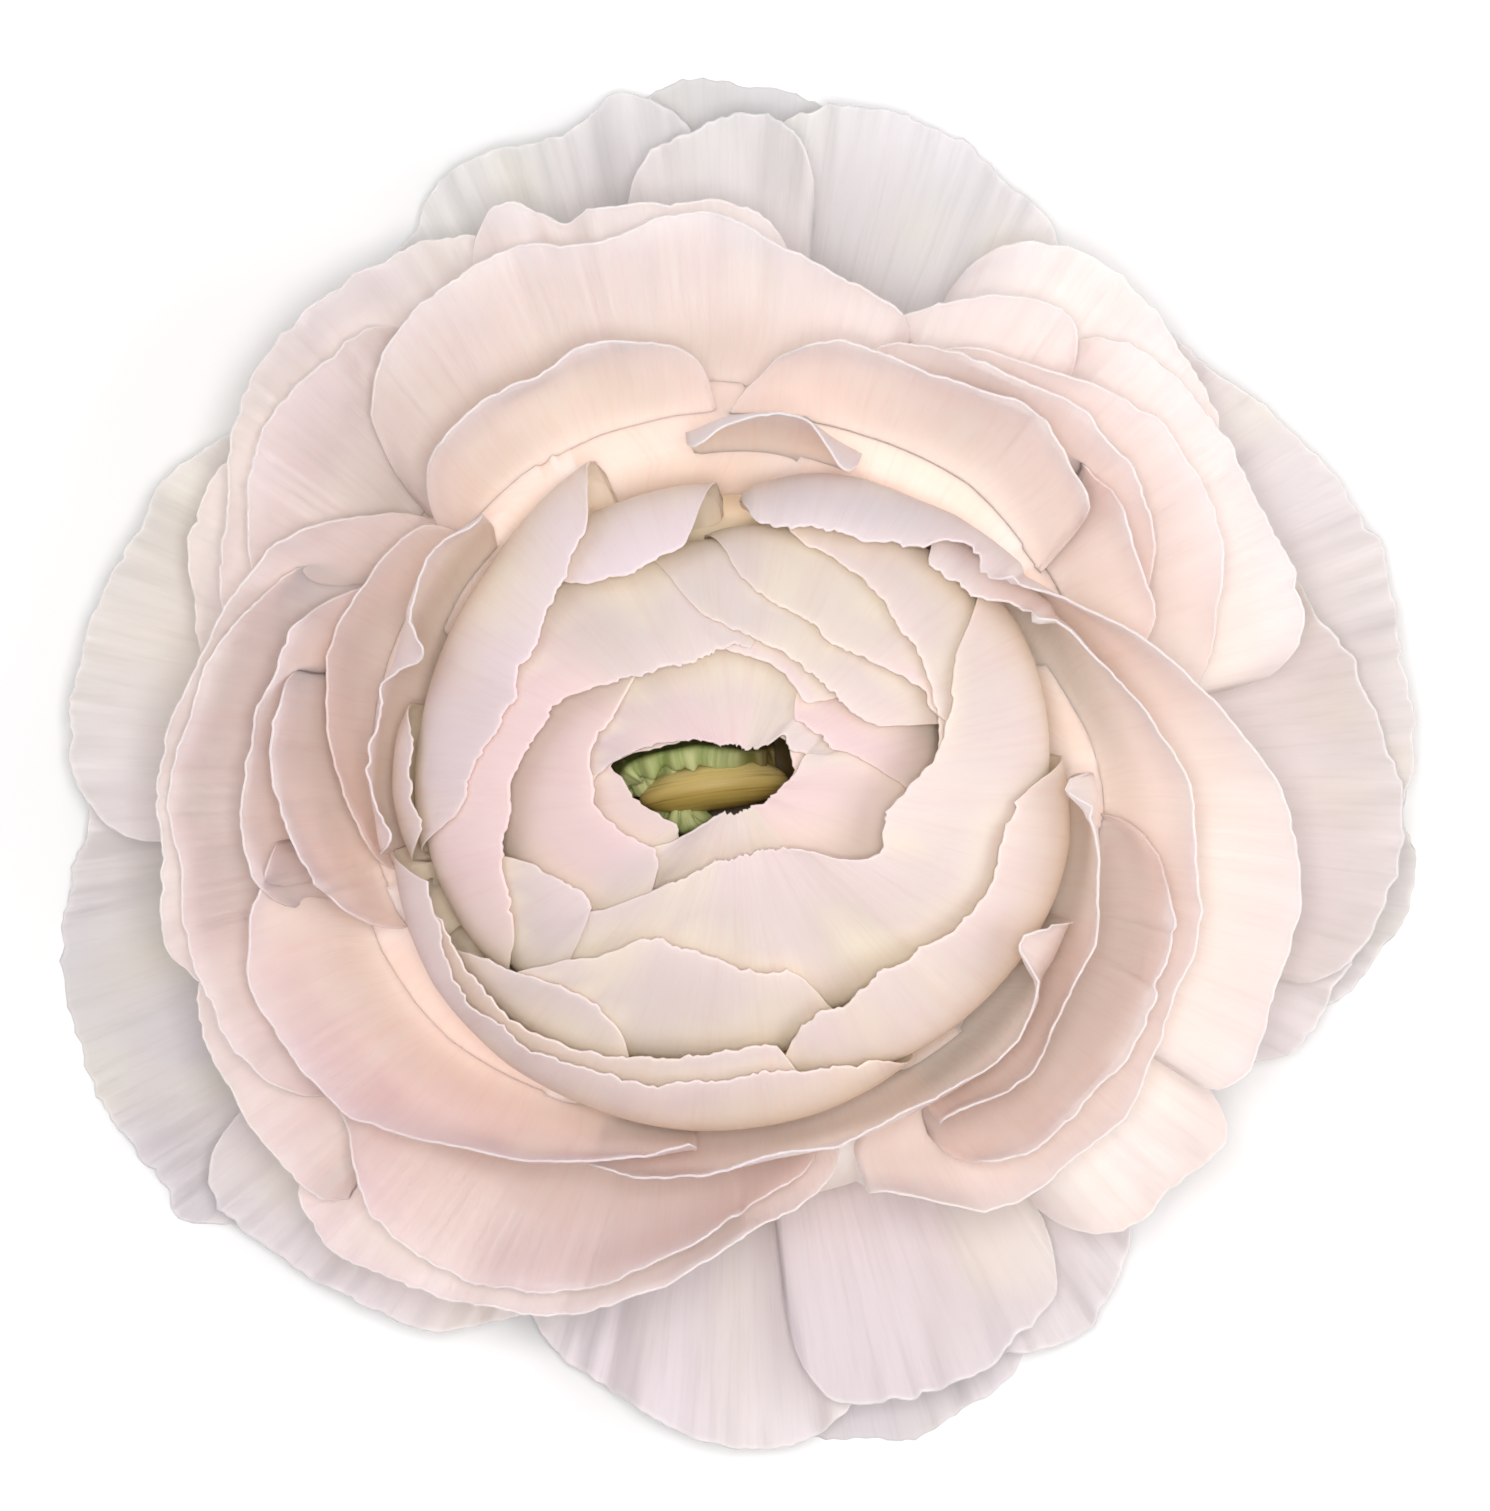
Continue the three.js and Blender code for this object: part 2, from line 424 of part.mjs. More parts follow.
// ---- solids ----
// A solid of revolution from a profile [radius, height] that runs from the axis up to the axis.
function turned(profile, sides) {
  const vertices = [];
  const triangles = [];
  const inner = profile.slice(1, -1);
  vertices.push(0, 0, profile[0][1], 0, 0, profile[profile.length - 1][1]);
  inner.forEach(([r, z]) => {
    for (let s = 0; s < sides; s += 1) {
      const a = 2 * Math.PI * s / sides;
      vertices.push(r * Math.cos(a), r * Math.sin(a), z);
    }
  });
  const ring = (k, s) => 2 + k * sides + (s % sides);
  for (let s = 0; s < sides; s += 1) {
    triangles.push(0, ring(0, s + 1), ring(0, s));
    triangles.push(1, ring(inner.length - 1, s), ring(inner.length - 1, s + 1));
    for (let k = 0; k + 1 < inner.length; k += 1) {
      triangles.push(ring(k, s), ring(k, s + 1), ring(k + 1, s + 1));
      triangles.push(ring(k, s), ring(k + 1, s + 1), ring(k + 1, s));
    }
  }
  return { vertices, triangles };
}

function solid({ vertices, triangles }) {
  return new wasm.Manifold(new wasm.Mesh({
    numProp: 3,
    vertProperties: new Float32Array(vertices),
    triVerts: new Uint32Array(triangles),
  }));
}

// Keeps the outward shells of a body, without specks, so that a pocket closed by fusing is filled.
function filled(positions, triangles) {
  const parent = triangles.map((_, n) => n);
  const find = (n) => {
    let at = n;
    while (parent[at] !== at) {
      parent[at] = parent[parent[at]];
      at = parent[at];
    }
    return at;
  };
  const edges = new Map();
  triangles.forEach(([a, b, c], n) => {
    [[a, b], [b, c], [c, a]].forEach(([p, q]) => {
      const key = p < q ? `${p} ${q}` : `${q} ${p}`;
      if (edges.has(key)) {
        parent[find(n)] = find(edges.get(key));
      } else {
        edges.set(key, n);
      }
    });
  });
  const volume = new Map();
  triangles.forEach(([a, b, c], n) => {
    const shell = find(n);
    const cross = positions[b].clone().cross(positions[c]);
    volume.set(shell, (volume.get(shell) ?? 0) + positions[a].dot(cross) / 6);
  });
  return triangles.filter((_, n) => volume.get(find(n)) > SPECK);
}

// Joins vertices that lie within the grid's step and drops the triangles that this closes.
function welded(positions, triangles) {
  const places = new Map();
  const kept = [];
  const index = positions.map((p) => {
    const place = [p.x, p.y, p.z].map((x) => Math.round(x / WELD) * WELD);
    const key = place.map((x) => x.toFixed(3)).join(' ');
    if (!places.has(key)) {
      places.set(key, kept.length);
      kept.push(new THREE.Vector3(...place));
    }
    return places.get(key);
  });
  const open = triangles
    .map((corners) => corners.map((k) => index[k]))
    .filter(([a, b, c]) => a !== b && b !== c && c !== a);
  return [kept, open];
}

function fuse(bodies) {
  const mesh = bodies.map(solid).reduce((sum, body) => sum.add(body)).getMesh();
  const raw = [];
  for (let i = 0; i < mesh.vertProperties.length; i += mesh.numProp) {
    raw.push(new THREE.Vector3(...mesh.vertProperties.slice(i, i + 3)));
  }
  const corners = [];
  for (let i = 0; i < mesh.triVerts.length; i += 3) {
    corners.push([...mesh.triVerts.slice(i, i + 3)]);
  }
  const [positions, triangles] = welded(raw, filled(raw, corners));
  const geometry = new THREE.BufferGeometry();
  geometry.setAttribute('position', new THREE.Float32BufferAttribute(
    positions.flatMap((p) => [p.x, p.y, p.z]), 3));
  geometry.setIndex(filled(positions, triangles).flat());
  geometry.computeVertexNormals();
  return geometry;
}

// ---- sub-parts ----
function guardPetals() {
  const top = ribOf(44.2);
  const under = ribOf(47.2);
  const core = turned([
    [0, under[0][1]],
    under[0],
    onRib(under, 0.14),
    onRib(under, 0.25),
    onRib(top, 0.27),
    onRib(top, 0.14),
    top[0],
    [0, top[0][1]],
  ], CORE_SIDES);
  return fuse([core, ...petalBlades(GUARD)]);
}

function cupPetals() {
  const top = ribOf(24.6);
  const under = ribOf(41.4);
  const core = turned([
    [0, under[0][1]],
    under[0],
    onRib(under, 0.14),
    onRib(under, 0.27),
    onRib(under, 0.43),
    onRib(ribOf(37), 0.52),
    onRib(ribOf(30), 0.55),
    onRib(top, 0.5),
    onRib(top, 0.28),
    top[0],
    [0, top[0][1]],
  ], CORE_SIDES);
  return fuse([core, ...petalBlades(CUP), ...petalBlades(SPIRAL)]);
}

function heartPetals() {
  const under = ribOf(21.9);
  const core = turned([
    [0, under[0][1]],
    under[0],
    onRib(under, 0.14),
    onRib(under, 0.27),
    onRib(under, 0.48),
    [17.6, 20.9],
    [9.2, 20.2],
    [0, 20.2],
  ], CORE_SIDES);
  return fuse([core, ...petalBlades(HEART)]);
}

// Small green petals that are still folded, in the opening of the heart.
const GREEN_LOBES = [
  { x: -7.5, y: 1, turn: 70, width: 4.6, height: 7.6, lean: 14, crimp: 0.35 },
  { x: -4.6, y: 2.3, turn: 30, width: 6.2, height: 8.3, lean: 16, crimp: 0.5 },
  { x: -1.2, y: 2.7, turn: 6, width: 6.6, height: 8.4, lean: 14, crimp: 0.55 },
  { x: 2.3, y: 2.4, turn: -28, width: 5, height: 7.9, lean: 14, crimp: 0.4 },
  { x: -2.8, y: -3.3, turn: 172, width: 4.6, height: 6.6, lean: 10, crimp: 0.2 },
];
const GREEN_CORE_Z = 20.7;
const GREEN_CORE_TOP = 23.4;

function greenLobe({ x, y, turn, width, height, lean, crimp }) {
  return blade((u, w) => {
    const s = 2 * u - 1;
    const bow = 0.9 * (1 - s * s);
    const across = s * width / 2 * (0.7 + 0.3 * Math.sin(Math.PI * Math.min(w + 0.25, 1)));
    const out = bow - w * height * Math.tan(lean * DEG) * 0.5
      + crimp * w * Math.sin(5 * Math.PI * u);
    const up = GREEN_CORE_TOP - 1.2 + w * height * 0.78 * (1 - 0.22 * s ** 4);
    const c = Math.cos(turn * DEG);
    const d = Math.sin(turn * DEG);
    return new THREE.Vector3(x + across * c - out * d, y + across * d + out * c, up);
  }, 6, 2, BLADE);
}

function greenHeart() {
  const core = turned([
    [0, GREEN_CORE_Z],
    [5.4, GREEN_CORE_Z],
    [6.8, GREEN_CORE_Z + 0.9],
    [6.6, GREEN_CORE_TOP - 0.6],
    [4.4, GREEN_CORE_TOP],
    [0, GREEN_CORE_TOP],
  ], 12);
  const shifted = {
    vertices: core.vertices.map((value, n) => (n % 3 === 0 ? value * 1.02 - 1.6 : value)),
    triangles: core.triangles,
  };
  return fuse([shifted, ...GREEN_LOBES.map(greenLobe)]);
}

// The closed ochre bud in the middle of the opening, a smooth lens on edge.
const BUD = { x: -1.4, y: -0.8, z: 26.3, long: 4.9, wide: 1.55, high: 2.5, bend: 0.45 };

function heartBud() {
  const profile = [];
  const rings = 6;
  for (let k = 0; k <= rings; k += 1) {
    const a = -Math.PI / 2 + Math.PI * k / rings;
    profile.push([Math.cos(a), Math.sin(a)]);
  }
  const ball = turned(profile, 14);
  const vertices = [];
  for (let i = 0; i < ball.vertices.length; i += 3) {
    const [x, y, z] = ball.vertices.slice(i, i + 3);
    const bow = BUD.bend * (1 - x * x);
    vertices.push(BUD.x + x * BUD.long, BUD.y + y * BUD.wide + bow, BUD.z + z * BUD.high);
  }
  return fuse([{ vertices, triangles: ball.triangles }]);
}

// Receptacle, five reflexed sepals and the stub of the stem, one green piece under the bloom.
function sepal(index) {
  const turn = (18 + index * 360 / SEPAL_COUNT + 5 * (draw(index, 7) - 0.5)) * DEG;
  const reachOut = 16.6 + 1.2 * draw(index, 9);
  return blade((u, w) => {
    const s = 2 * u - 1;
    const r = lerp(3, reachOut, w);
    const half = SEPAL_HALF_WIDTH * (0.5 + 1.1 * w - 1.45 * w ** 3);
    const across = s * Math.max(half, 0.35);
    const z = 5.1 - 2.3 * w * w - 0.35 * s * s * w - 0.25 * Math.sin(3 * Math.PI * w) * w;
    return new THREE.Vector3(
      r * Math.cos(turn) - across * Math.sin(turn),
      r * Math.sin(turn) + across * Math.cos(turn),
      z,
    );
  }, 3, 4, SEPAL);
}

function calyx() {
  const stem = turned([
    [0, STEM_CUT_Z],
    [STEM_R - 0.15, STEM_CUT_Z],
    [STEM_R, STEM_CUT_Z + 0.2],
    [STEM_R + 0.1, 2.6],
    [STEM_R + 0.9, 3.6],
    [5, 4.6],
    [5.2, 5.4],
    [4.4, 6],
    [0, 6],
  ], 14);
  const sepals = [];
  for (let i = 0; i < SEPAL_COUNT; i += 1) {
    sepals.push(sepal(i));
  }
  return fuse([stem, ...sepals]);
}

// ---- the bloom ----
function part(name, geometry, color, roughness) {
  const material = new THREE.MeshStandardMaterial({ color, roughness, metalness: 0 });
  const mesh = new THREE.Mesh(geometry, material);
  mesh.name = name;
  return mesh;
}

function bloom() {
  const group = new THREE.Group();
  group.name = 'ranunculus_flower';
  group.add(part('guard_petals', guardPetals(), 0xe4dfe2, 0.62));
  group.add(part('cup_petals', cupPetals(), 0xf3d6c8, 0.58));
  group.add(part('heart_petals', heartPetals(), 0xeee2d2, 0.55));
  group.add(part('green_heart', greenHeart(), 0x87985a, 0.55));
  group.add(part('heart_bud', heartBud(), 0xa89a58, 0.5));
  group.add(part('calyx', calyx(), 0x6f8a4a, 0.7));
  const box = new THREE.Box3().setFromObject(group);
  const centre = box.getCenter(new THREE.Vector3());
  group.children.forEach((mesh) => {
    mesh.geometry.translate(-centre.x, -centre.y, -box.min.z);
  });
  return group;
}

export default bloom();
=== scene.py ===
import logging
import math
from collections.abc import Callable
from dataclasses import dataclass, field, replace
from enum import Enum

import bpy
import numpy as np
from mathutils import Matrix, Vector
from mathutils.bvhtree import BVHTree


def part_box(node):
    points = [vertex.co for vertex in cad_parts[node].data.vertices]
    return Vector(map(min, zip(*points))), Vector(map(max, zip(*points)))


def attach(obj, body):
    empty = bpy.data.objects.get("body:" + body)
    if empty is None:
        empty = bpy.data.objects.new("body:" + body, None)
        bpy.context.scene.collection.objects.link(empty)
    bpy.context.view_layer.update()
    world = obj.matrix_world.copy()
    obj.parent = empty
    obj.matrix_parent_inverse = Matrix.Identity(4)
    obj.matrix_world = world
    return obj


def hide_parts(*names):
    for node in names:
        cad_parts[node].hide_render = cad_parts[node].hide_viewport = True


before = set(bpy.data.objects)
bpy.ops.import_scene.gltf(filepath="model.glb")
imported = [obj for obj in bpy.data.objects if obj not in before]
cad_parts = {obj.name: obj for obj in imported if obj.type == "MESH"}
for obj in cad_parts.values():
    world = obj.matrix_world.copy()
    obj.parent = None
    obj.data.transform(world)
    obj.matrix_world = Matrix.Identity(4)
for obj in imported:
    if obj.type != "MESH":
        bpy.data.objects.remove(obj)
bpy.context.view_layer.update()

MM = 0.001
DEG = math.pi / 180.0
LOG = logging.getLogger("bloom")
# From the bloom's axis to the middle of the bud's box, in millimetres.
BUD_OFFSET = (-1.4, -0.372)

# ---- drawn dimensions, in millimetres ----
# Each shell of the bloom: its number, then its rib as [radius, height] from root to rim.
SHELLS = [
    [6, [[2.4, 16.5], [4.4, 19], [6, 23.5], [5.8, 28], [2, 31.5]]],
    [10, [[3, 15.6], [7, 17], [10, 22], [9.8, 28], [3, 32.6]]],
    [14, [[3.5, 14.6], [9.5, 15.6], [13.8, 21], [13.8, 27.6], [4.5, 33.6]]],
    [18, [[4, 13.6], [11.8, 14.4], [17.4, 20.2], [18, 27], [7, 34.4]]],
    [20, [[4.2, 13], [12.8, 13.6], [19.2, 19.8], [20.3, 26.6], [9, 34.6]]],
    [22, [[4.4, 12.4], [13.8, 13], [20.8, 19], [22.4, 26], [13, 34]]],
    [24, [[4.6, 11.8], [14.8, 12.2], [22, 18], [24.4, 25], [24, 31]]],
    [27, [[4.8, 11.2], [16, 11.4], [23.6, 17], [26.8, 23.6], [27, 29.5]]],
    [30, [[5, 10.6], [17, 10.6], [25, 15.8], [29, 22], [30, 28]]],
    [34, [[5.2, 9.8], [18, 9.4], [27, 13.6], [32, 19.4], [34, 25]]],
    [38, [[5.4, 9], [18.6, 8], [29, 11], [35, 15.8], [38, 21]]],
    [41, [[5.6, 8.4], [18.8, 6.8], [29.6, 8.4], [36.6, 12], [41, 16.5]]],
    [44, [[5.8, 7.6], [18.4, 5.4], [29.4, 5.2], [38, 7], [44, 10.5]]],
    [47, [[6, 6.8], [17.8, 4.2], [28, 2], [38, 0.7], [47, 1.6]]],
]

# Petals by their margin points [azimuth, rim radius, shell]; the shell is the rim's if left out.
GUARD_TABLE = [
    [[340, 41.5, 43.8], [346, 43.6, 43.9], [351, 44.2, 44], [356, 44.4, 44], [365, 43, 43.9],
     [372, 42, 43.7], [377, 40.4, 43.5], [384, 38.5, 43.4]],
    [[325, 36.5, 44.8], [331, 38.2, 44.8], [334, 40.9, 45], [339, 42.2, 45.2], [346, 43, 45.4],
     [354, 43, 45.6]],
    [[337, 41.5, 47.2], [341, 43.4, 47.4], [345, 44.4, 47.5], [350, 45.7, 47.5], [358, 44.7, 47.3],
     [364, 43.6, 47]],
    [[355, 43.5, 45.2], [359, 44.6, 45.2], [365, 45.4, 45.4], [374, 45.5, 45.6], [385, 45.2, 45.6],
     [395, 43.4, 45.4], [405, 41.8, 45], [413, 41, 44.6], [420, 40, 44.6]],
    [[50, 39.8, 45.8], [58, 41.2, 45.8], [61, 43.5, 45.8], [67, 44.2, 45.9], [73, 45.5, 46],
     [78, 46.3, 46.1], [83, 45.8, 46.1], [90, 42, 46]],
    [[79, 44.3, 47.4], [85, 46.3, 47.6], [89, 46.7, 47.6], [93, 47.2, 47.6], [97, 46.3, 47.4],
     [103, 44.3, 47.2]],
    [[82, 42.4, 44.2], [84.5, 44, 44.4], [88, 44.6, 44.6], [92, 44.2, 44.6], [96, 43, 44.4],
     [101, 41.5, 44.2]],
    [[92, 43.4, 46], [97, 45.8, 46], [100, 46.4, 46], [105, 45, 45.8], [110, 45.5, 45.9],
     [116, 44.7, 45.8], [120, 42.3, 45.6], [130, 41, 45.2]],
    [[113, 40, 46.8], [125, 41.2, 46.9], [137, 41, 46.8], [151, 39.5, 46.6]],
    [[140, 39.2, 45], [145, 40.9, 45], [151, 42.7, 45], [160, 43.8, 45.2], [172, 44.5, 45.4],
     [179, 43.8, 45.2], [186, 42, 45]],
    [[173, 42, 46.8], [178, 43.4, 46.9], [182, 43.3, 47], [188, 44.8, 47.2], [194, 46.2, 47.4],
     [203, 47.2, 47.6], [209, 47.5, 47.6], [215, 46.7, 47.5], [218, 47, 47.4], [221, 44.5, 47.2],
     [226, 42, 47]],
    [[213, 42.5, 45.6], [219, 44.4, 45.8], [225, 43.6, 45.7], [234, 42.8, 45.5], [241, 41.8, 45.2],
     [245, 39.7, 44.8], [249, 37.6, 44.6], [254, 36, 44.4]],
    [[243, 36.5, 46], [249, 38, 46], [253, 39.8, 45.8], [258, 40.9, 45.7], [263, 42.9, 45.6],
     [267, 43.9, 45.6], [272, 44.2, 45.6], [277, 43.4, 45.4], [283, 42, 45.2]],
    [[270, 42.5, 47.4], [275, 43.6, 47.5], [281, 44.4, 47.6], [286, 45.2, 47.6], [290, 44.5, 47.5],
     [294, 43.9, 47.3], [299, 42.4, 47]],
    [[275.5, 39.6, 43.8], [279, 41.4, 43.8], [285, 42.2, 43.8], [291, 42.5, 43.9], [297, 41.6, 43.8],
     [302, 40, 43.7], [306, 37.4, 43.6]],
    [[291, 40.5, 45.8], [297.5, 42.6, 45.8], [302, 43.1, 45.8], [306, 42.2, 45.6], [310, 40.8, 45.4],
     [313, 39.1, 45.2], [318, 38, 45]],
    [[306, 37.5, 46.4], [320, 38.2, 46.6], [333, 37.4, 46.4]],
]

CUP_TABLE = [
    [[32, 23.4, 28.4], [34.5, 25.6, 28.8], [37.5, 29.4, 29.6], [43, 30.4], [51, 31.4], [60, 30.6],
     [70, 29.7], [79, 29.6], [84, 28.6, 29], [87, 26.8, 28.6], [91, 25, 28.2], [96, 23.2, 27.8]],
    [[18, 29.4, 29.8], [26, 30.3, 30.6], [35, 31.3, 31.4], [46, 31, 32.4], [55, 30, 32.4]],
    [[16, 27, 32.2], [21, 28.6, 32.4], [29, 31.9, 32.8], [41, 33.4], [50, 33.3], [60, 32.5],
     [69, 31, 31.8], [76, 30, 31.4]],
    [[9, 31, 34.6], [14, 32.2, 34.8], [20, 34.2, 35], [25, 35.6], [33, 36.4], [41, 36.6],
     [51, 35, 35.2], [61, 32.9, 33.8], [68, 31.5, 33.4]],
    [[11, 38.6, 39.2], [17, 39.6], [30, 39.2], [38, 39.6], [46, 39.8], [51, 38.3, 39.2],
     [54, 35.6, 38.6], [58, 34, 38.4]],
    [[48, 34, 37.2], [52, 37, 37.6], [55, 38, 38.2], [61, 36.7, 37.4], [67, 34.5, 36.6],
     [70, 33.2, 36.4], [76, 32, 36.2]],
    [[32, 39, 41.4], [39, 40.6, 41.6], [45, 41.8, 41.8], [56, 42, 41.8], [60, 41.3, 41.6],
     [67, 39.5, 41.4]],
    [[66, 31.5, 35.2], [70, 33.2, 35.2], [76, 34.1, 35.3], [84, 35.6], [93, 37.4], [104, 37.2],
     [113, 38.3], [122, 37.8], [129, 36.6], [134.5, 34.6, 35.8], [137.5, 31.6, 34.8],
     [140, 28.4, 34.2]],
    [[83, 37.4, 39.4], [94, 38.6, 39.4], [104, 39.5], [107, 38.8, 39.8], [111, 41.2, 40.6],
     [115, 40.3, 40.8], [119, 38.6, 40.6]],
    [[92, 26.8, 29], [94, 28.5, 29.4], [98, 29.3, 29.8], [104, 29.8], [111, 30.4], [125, 30],
     [134, 29, 29.2], [139, 27, 28.8], [141.5, 25, 28.4]],
    [[111, 39, 41.9], [117, 40.6, 42], [121, 41.6, 42], [131, 42.6, 42], [138, 41.8], [145, 40.5],
     [151, 38.4, 39.6], [159, 36.6, 38.8], [165, 35.5, 38.6]],
    [[124, 38, 39.4], [131, 39.2, 39.5], [140, 39.2, 39.4], [147, 37.9], [153, 36, 37],
     [160, 34.5, 36.6]],
    [[136, 26, 31.4], [140, 28.4, 31.6], [147, 32, 33], [155, 34.6, 35], [164, 36, 36.2],
     [173, 37.3], [185, 38.3], [195, 39, 39], [199, 38.1, 38.8], [204, 37, 38.5]],
    [[144, 27, 32.2], [148, 28.8, 32.4], [152.5, 31.6, 33.2], [159, 33.8, 34.2], [169, 36, 35.8],
     [182, 37], [195, 37.6], [207, 37.3], [213, 36.1, 36.8], [219, 35, 36.5]],
    [[147, 26.6, 29.6], [152.5, 28.3, 29.8], [160, 30.5], [168, 31.4], [175, 32.2], [184, 32.4],
     [192, 31.9], [198, 30.4, 31.4]],
    [[163, 29.8, 30], [169, 30.4], [175, 30.9], [182.5, 30.2], [190, 28.6], [195, 27.3],
     [204, 25.3]],
    [[135, 25.2, 27.2], [140, 26.9, 27.8], [150, 28, 28.4], [160, 28, 28.4], [174, 26.9, 27.3],
     [181, 26, 26.4], [188, 24.9, 25.4], [196, 24.4, 25]],
    [[142, 38.8, 42], [148, 39.9, 42.1], [155, 40, 42.1], [163, 37.6, 41.8], [170, 36.6, 41.6]],
    [[216, 33.6, 35], [222, 34.6, 35.4], [224.5, 35.9, 36.2], [230, 37], [241, 37], [254, 34.6],
     [262, 31.6], [270, 28.6], [277, 26.6], [284, 25.4, 25.7]],
    [[195, 36.8, 40.2], [203, 38.4, 40], [214, 39.1, 39.7], [220, 39.4, 39.6], [228, 39, 39.2]],
    [[219, 39.2, 40.8], [226, 40, 40.6], [230, 40.4], [241, 38.7], [252, 36.9], [262, 33.5],
     [271, 29.8], [279, 27.6], [287, 26.2, 26.8]],
    [[305, 37.8, 40], [312, 39.2, 40.2], [318, 39.1, 40], [324.5, 40.1, 40.4], [329, 38, 40]],
    [[299, 28.8, 28.9], [305, 30], [312, 30.9], [320, 31.4], [330, 31, 30.8], [339, 30.7, 30.4],
     [347, 29.2, 29.3], [356, 27.4, 27.8]],
]

SPIRAL_TABLE = [
    [[288, 28.2], [293, 29.5], [300, 32.4], [305, 32.9], [319, 33.9], [326, 32.7], [335, 32],
     [345, 31.9], [352, 31], [360, 29.8], [367, 27.9], [375, 26.1], [385, 24.2, 24.4],
     [390, 23.1, 23.8], [398, 20.3, 22.3], [405, 19.2, 21.1], [412, 18.2, 20.3]],
    [[327, 37.8], [331, 38.8], [345, 38.3], [353, 37.2], [360, 35.8], [370, 32.2], [381, 28.1],
     [390, 24.7, 25.2], [398, 22.2, 23.6], [407, 20.5, 22.3], [417, 19, 21.3], [427, 18.1, 20.7],
     [434, 17.4, 20], [440, 16.9, 19.2], [445, 16.9, 18.4], [449, 17.2, 17.9]],
    [[133, 23.8, 24.8], [141, 24.8], [151, 24.3], [160, 23.8], [171, 23.4], [178, 23.8],
     [185, 23.6], [191, 23, 23.6]],
    [[187, 30, 32.6], [192, 31.9, 33.2], [195, 33.4, 33.8], [203, 34.6], [214, 33.8], [222, 33],
     [229, 31.2], [236, 29.5], [244, 27.5], [252, 25.6], [258, 24.7, 24.9], [264, 23.6, 24.3]],
    [[301, 25.9], [308, 26.4], [313, 26.8], [322, 26.7], [331, 25.9], [340, 25.2],
     [350, 23.9, 24.4], [355, 23.3, 24], [362, 22.1, 23.5]],
    [[249, 26.4], [256, 26.3], [265, 25.7], [277, 24.6], [290, 24.2], [307, 24.6], [314, 24.8],
     [325, 24.2], [331, 22.9, 23.8], [338, 21.8, 23.5]],
    [[69, 22, 24.6], [74, 22.9, 24.7], [78, 23.9, 24.8], [85, 24.2, 24.8], [92, 23.7, 24.7],
     [98, 22.2, 24.6]],
]

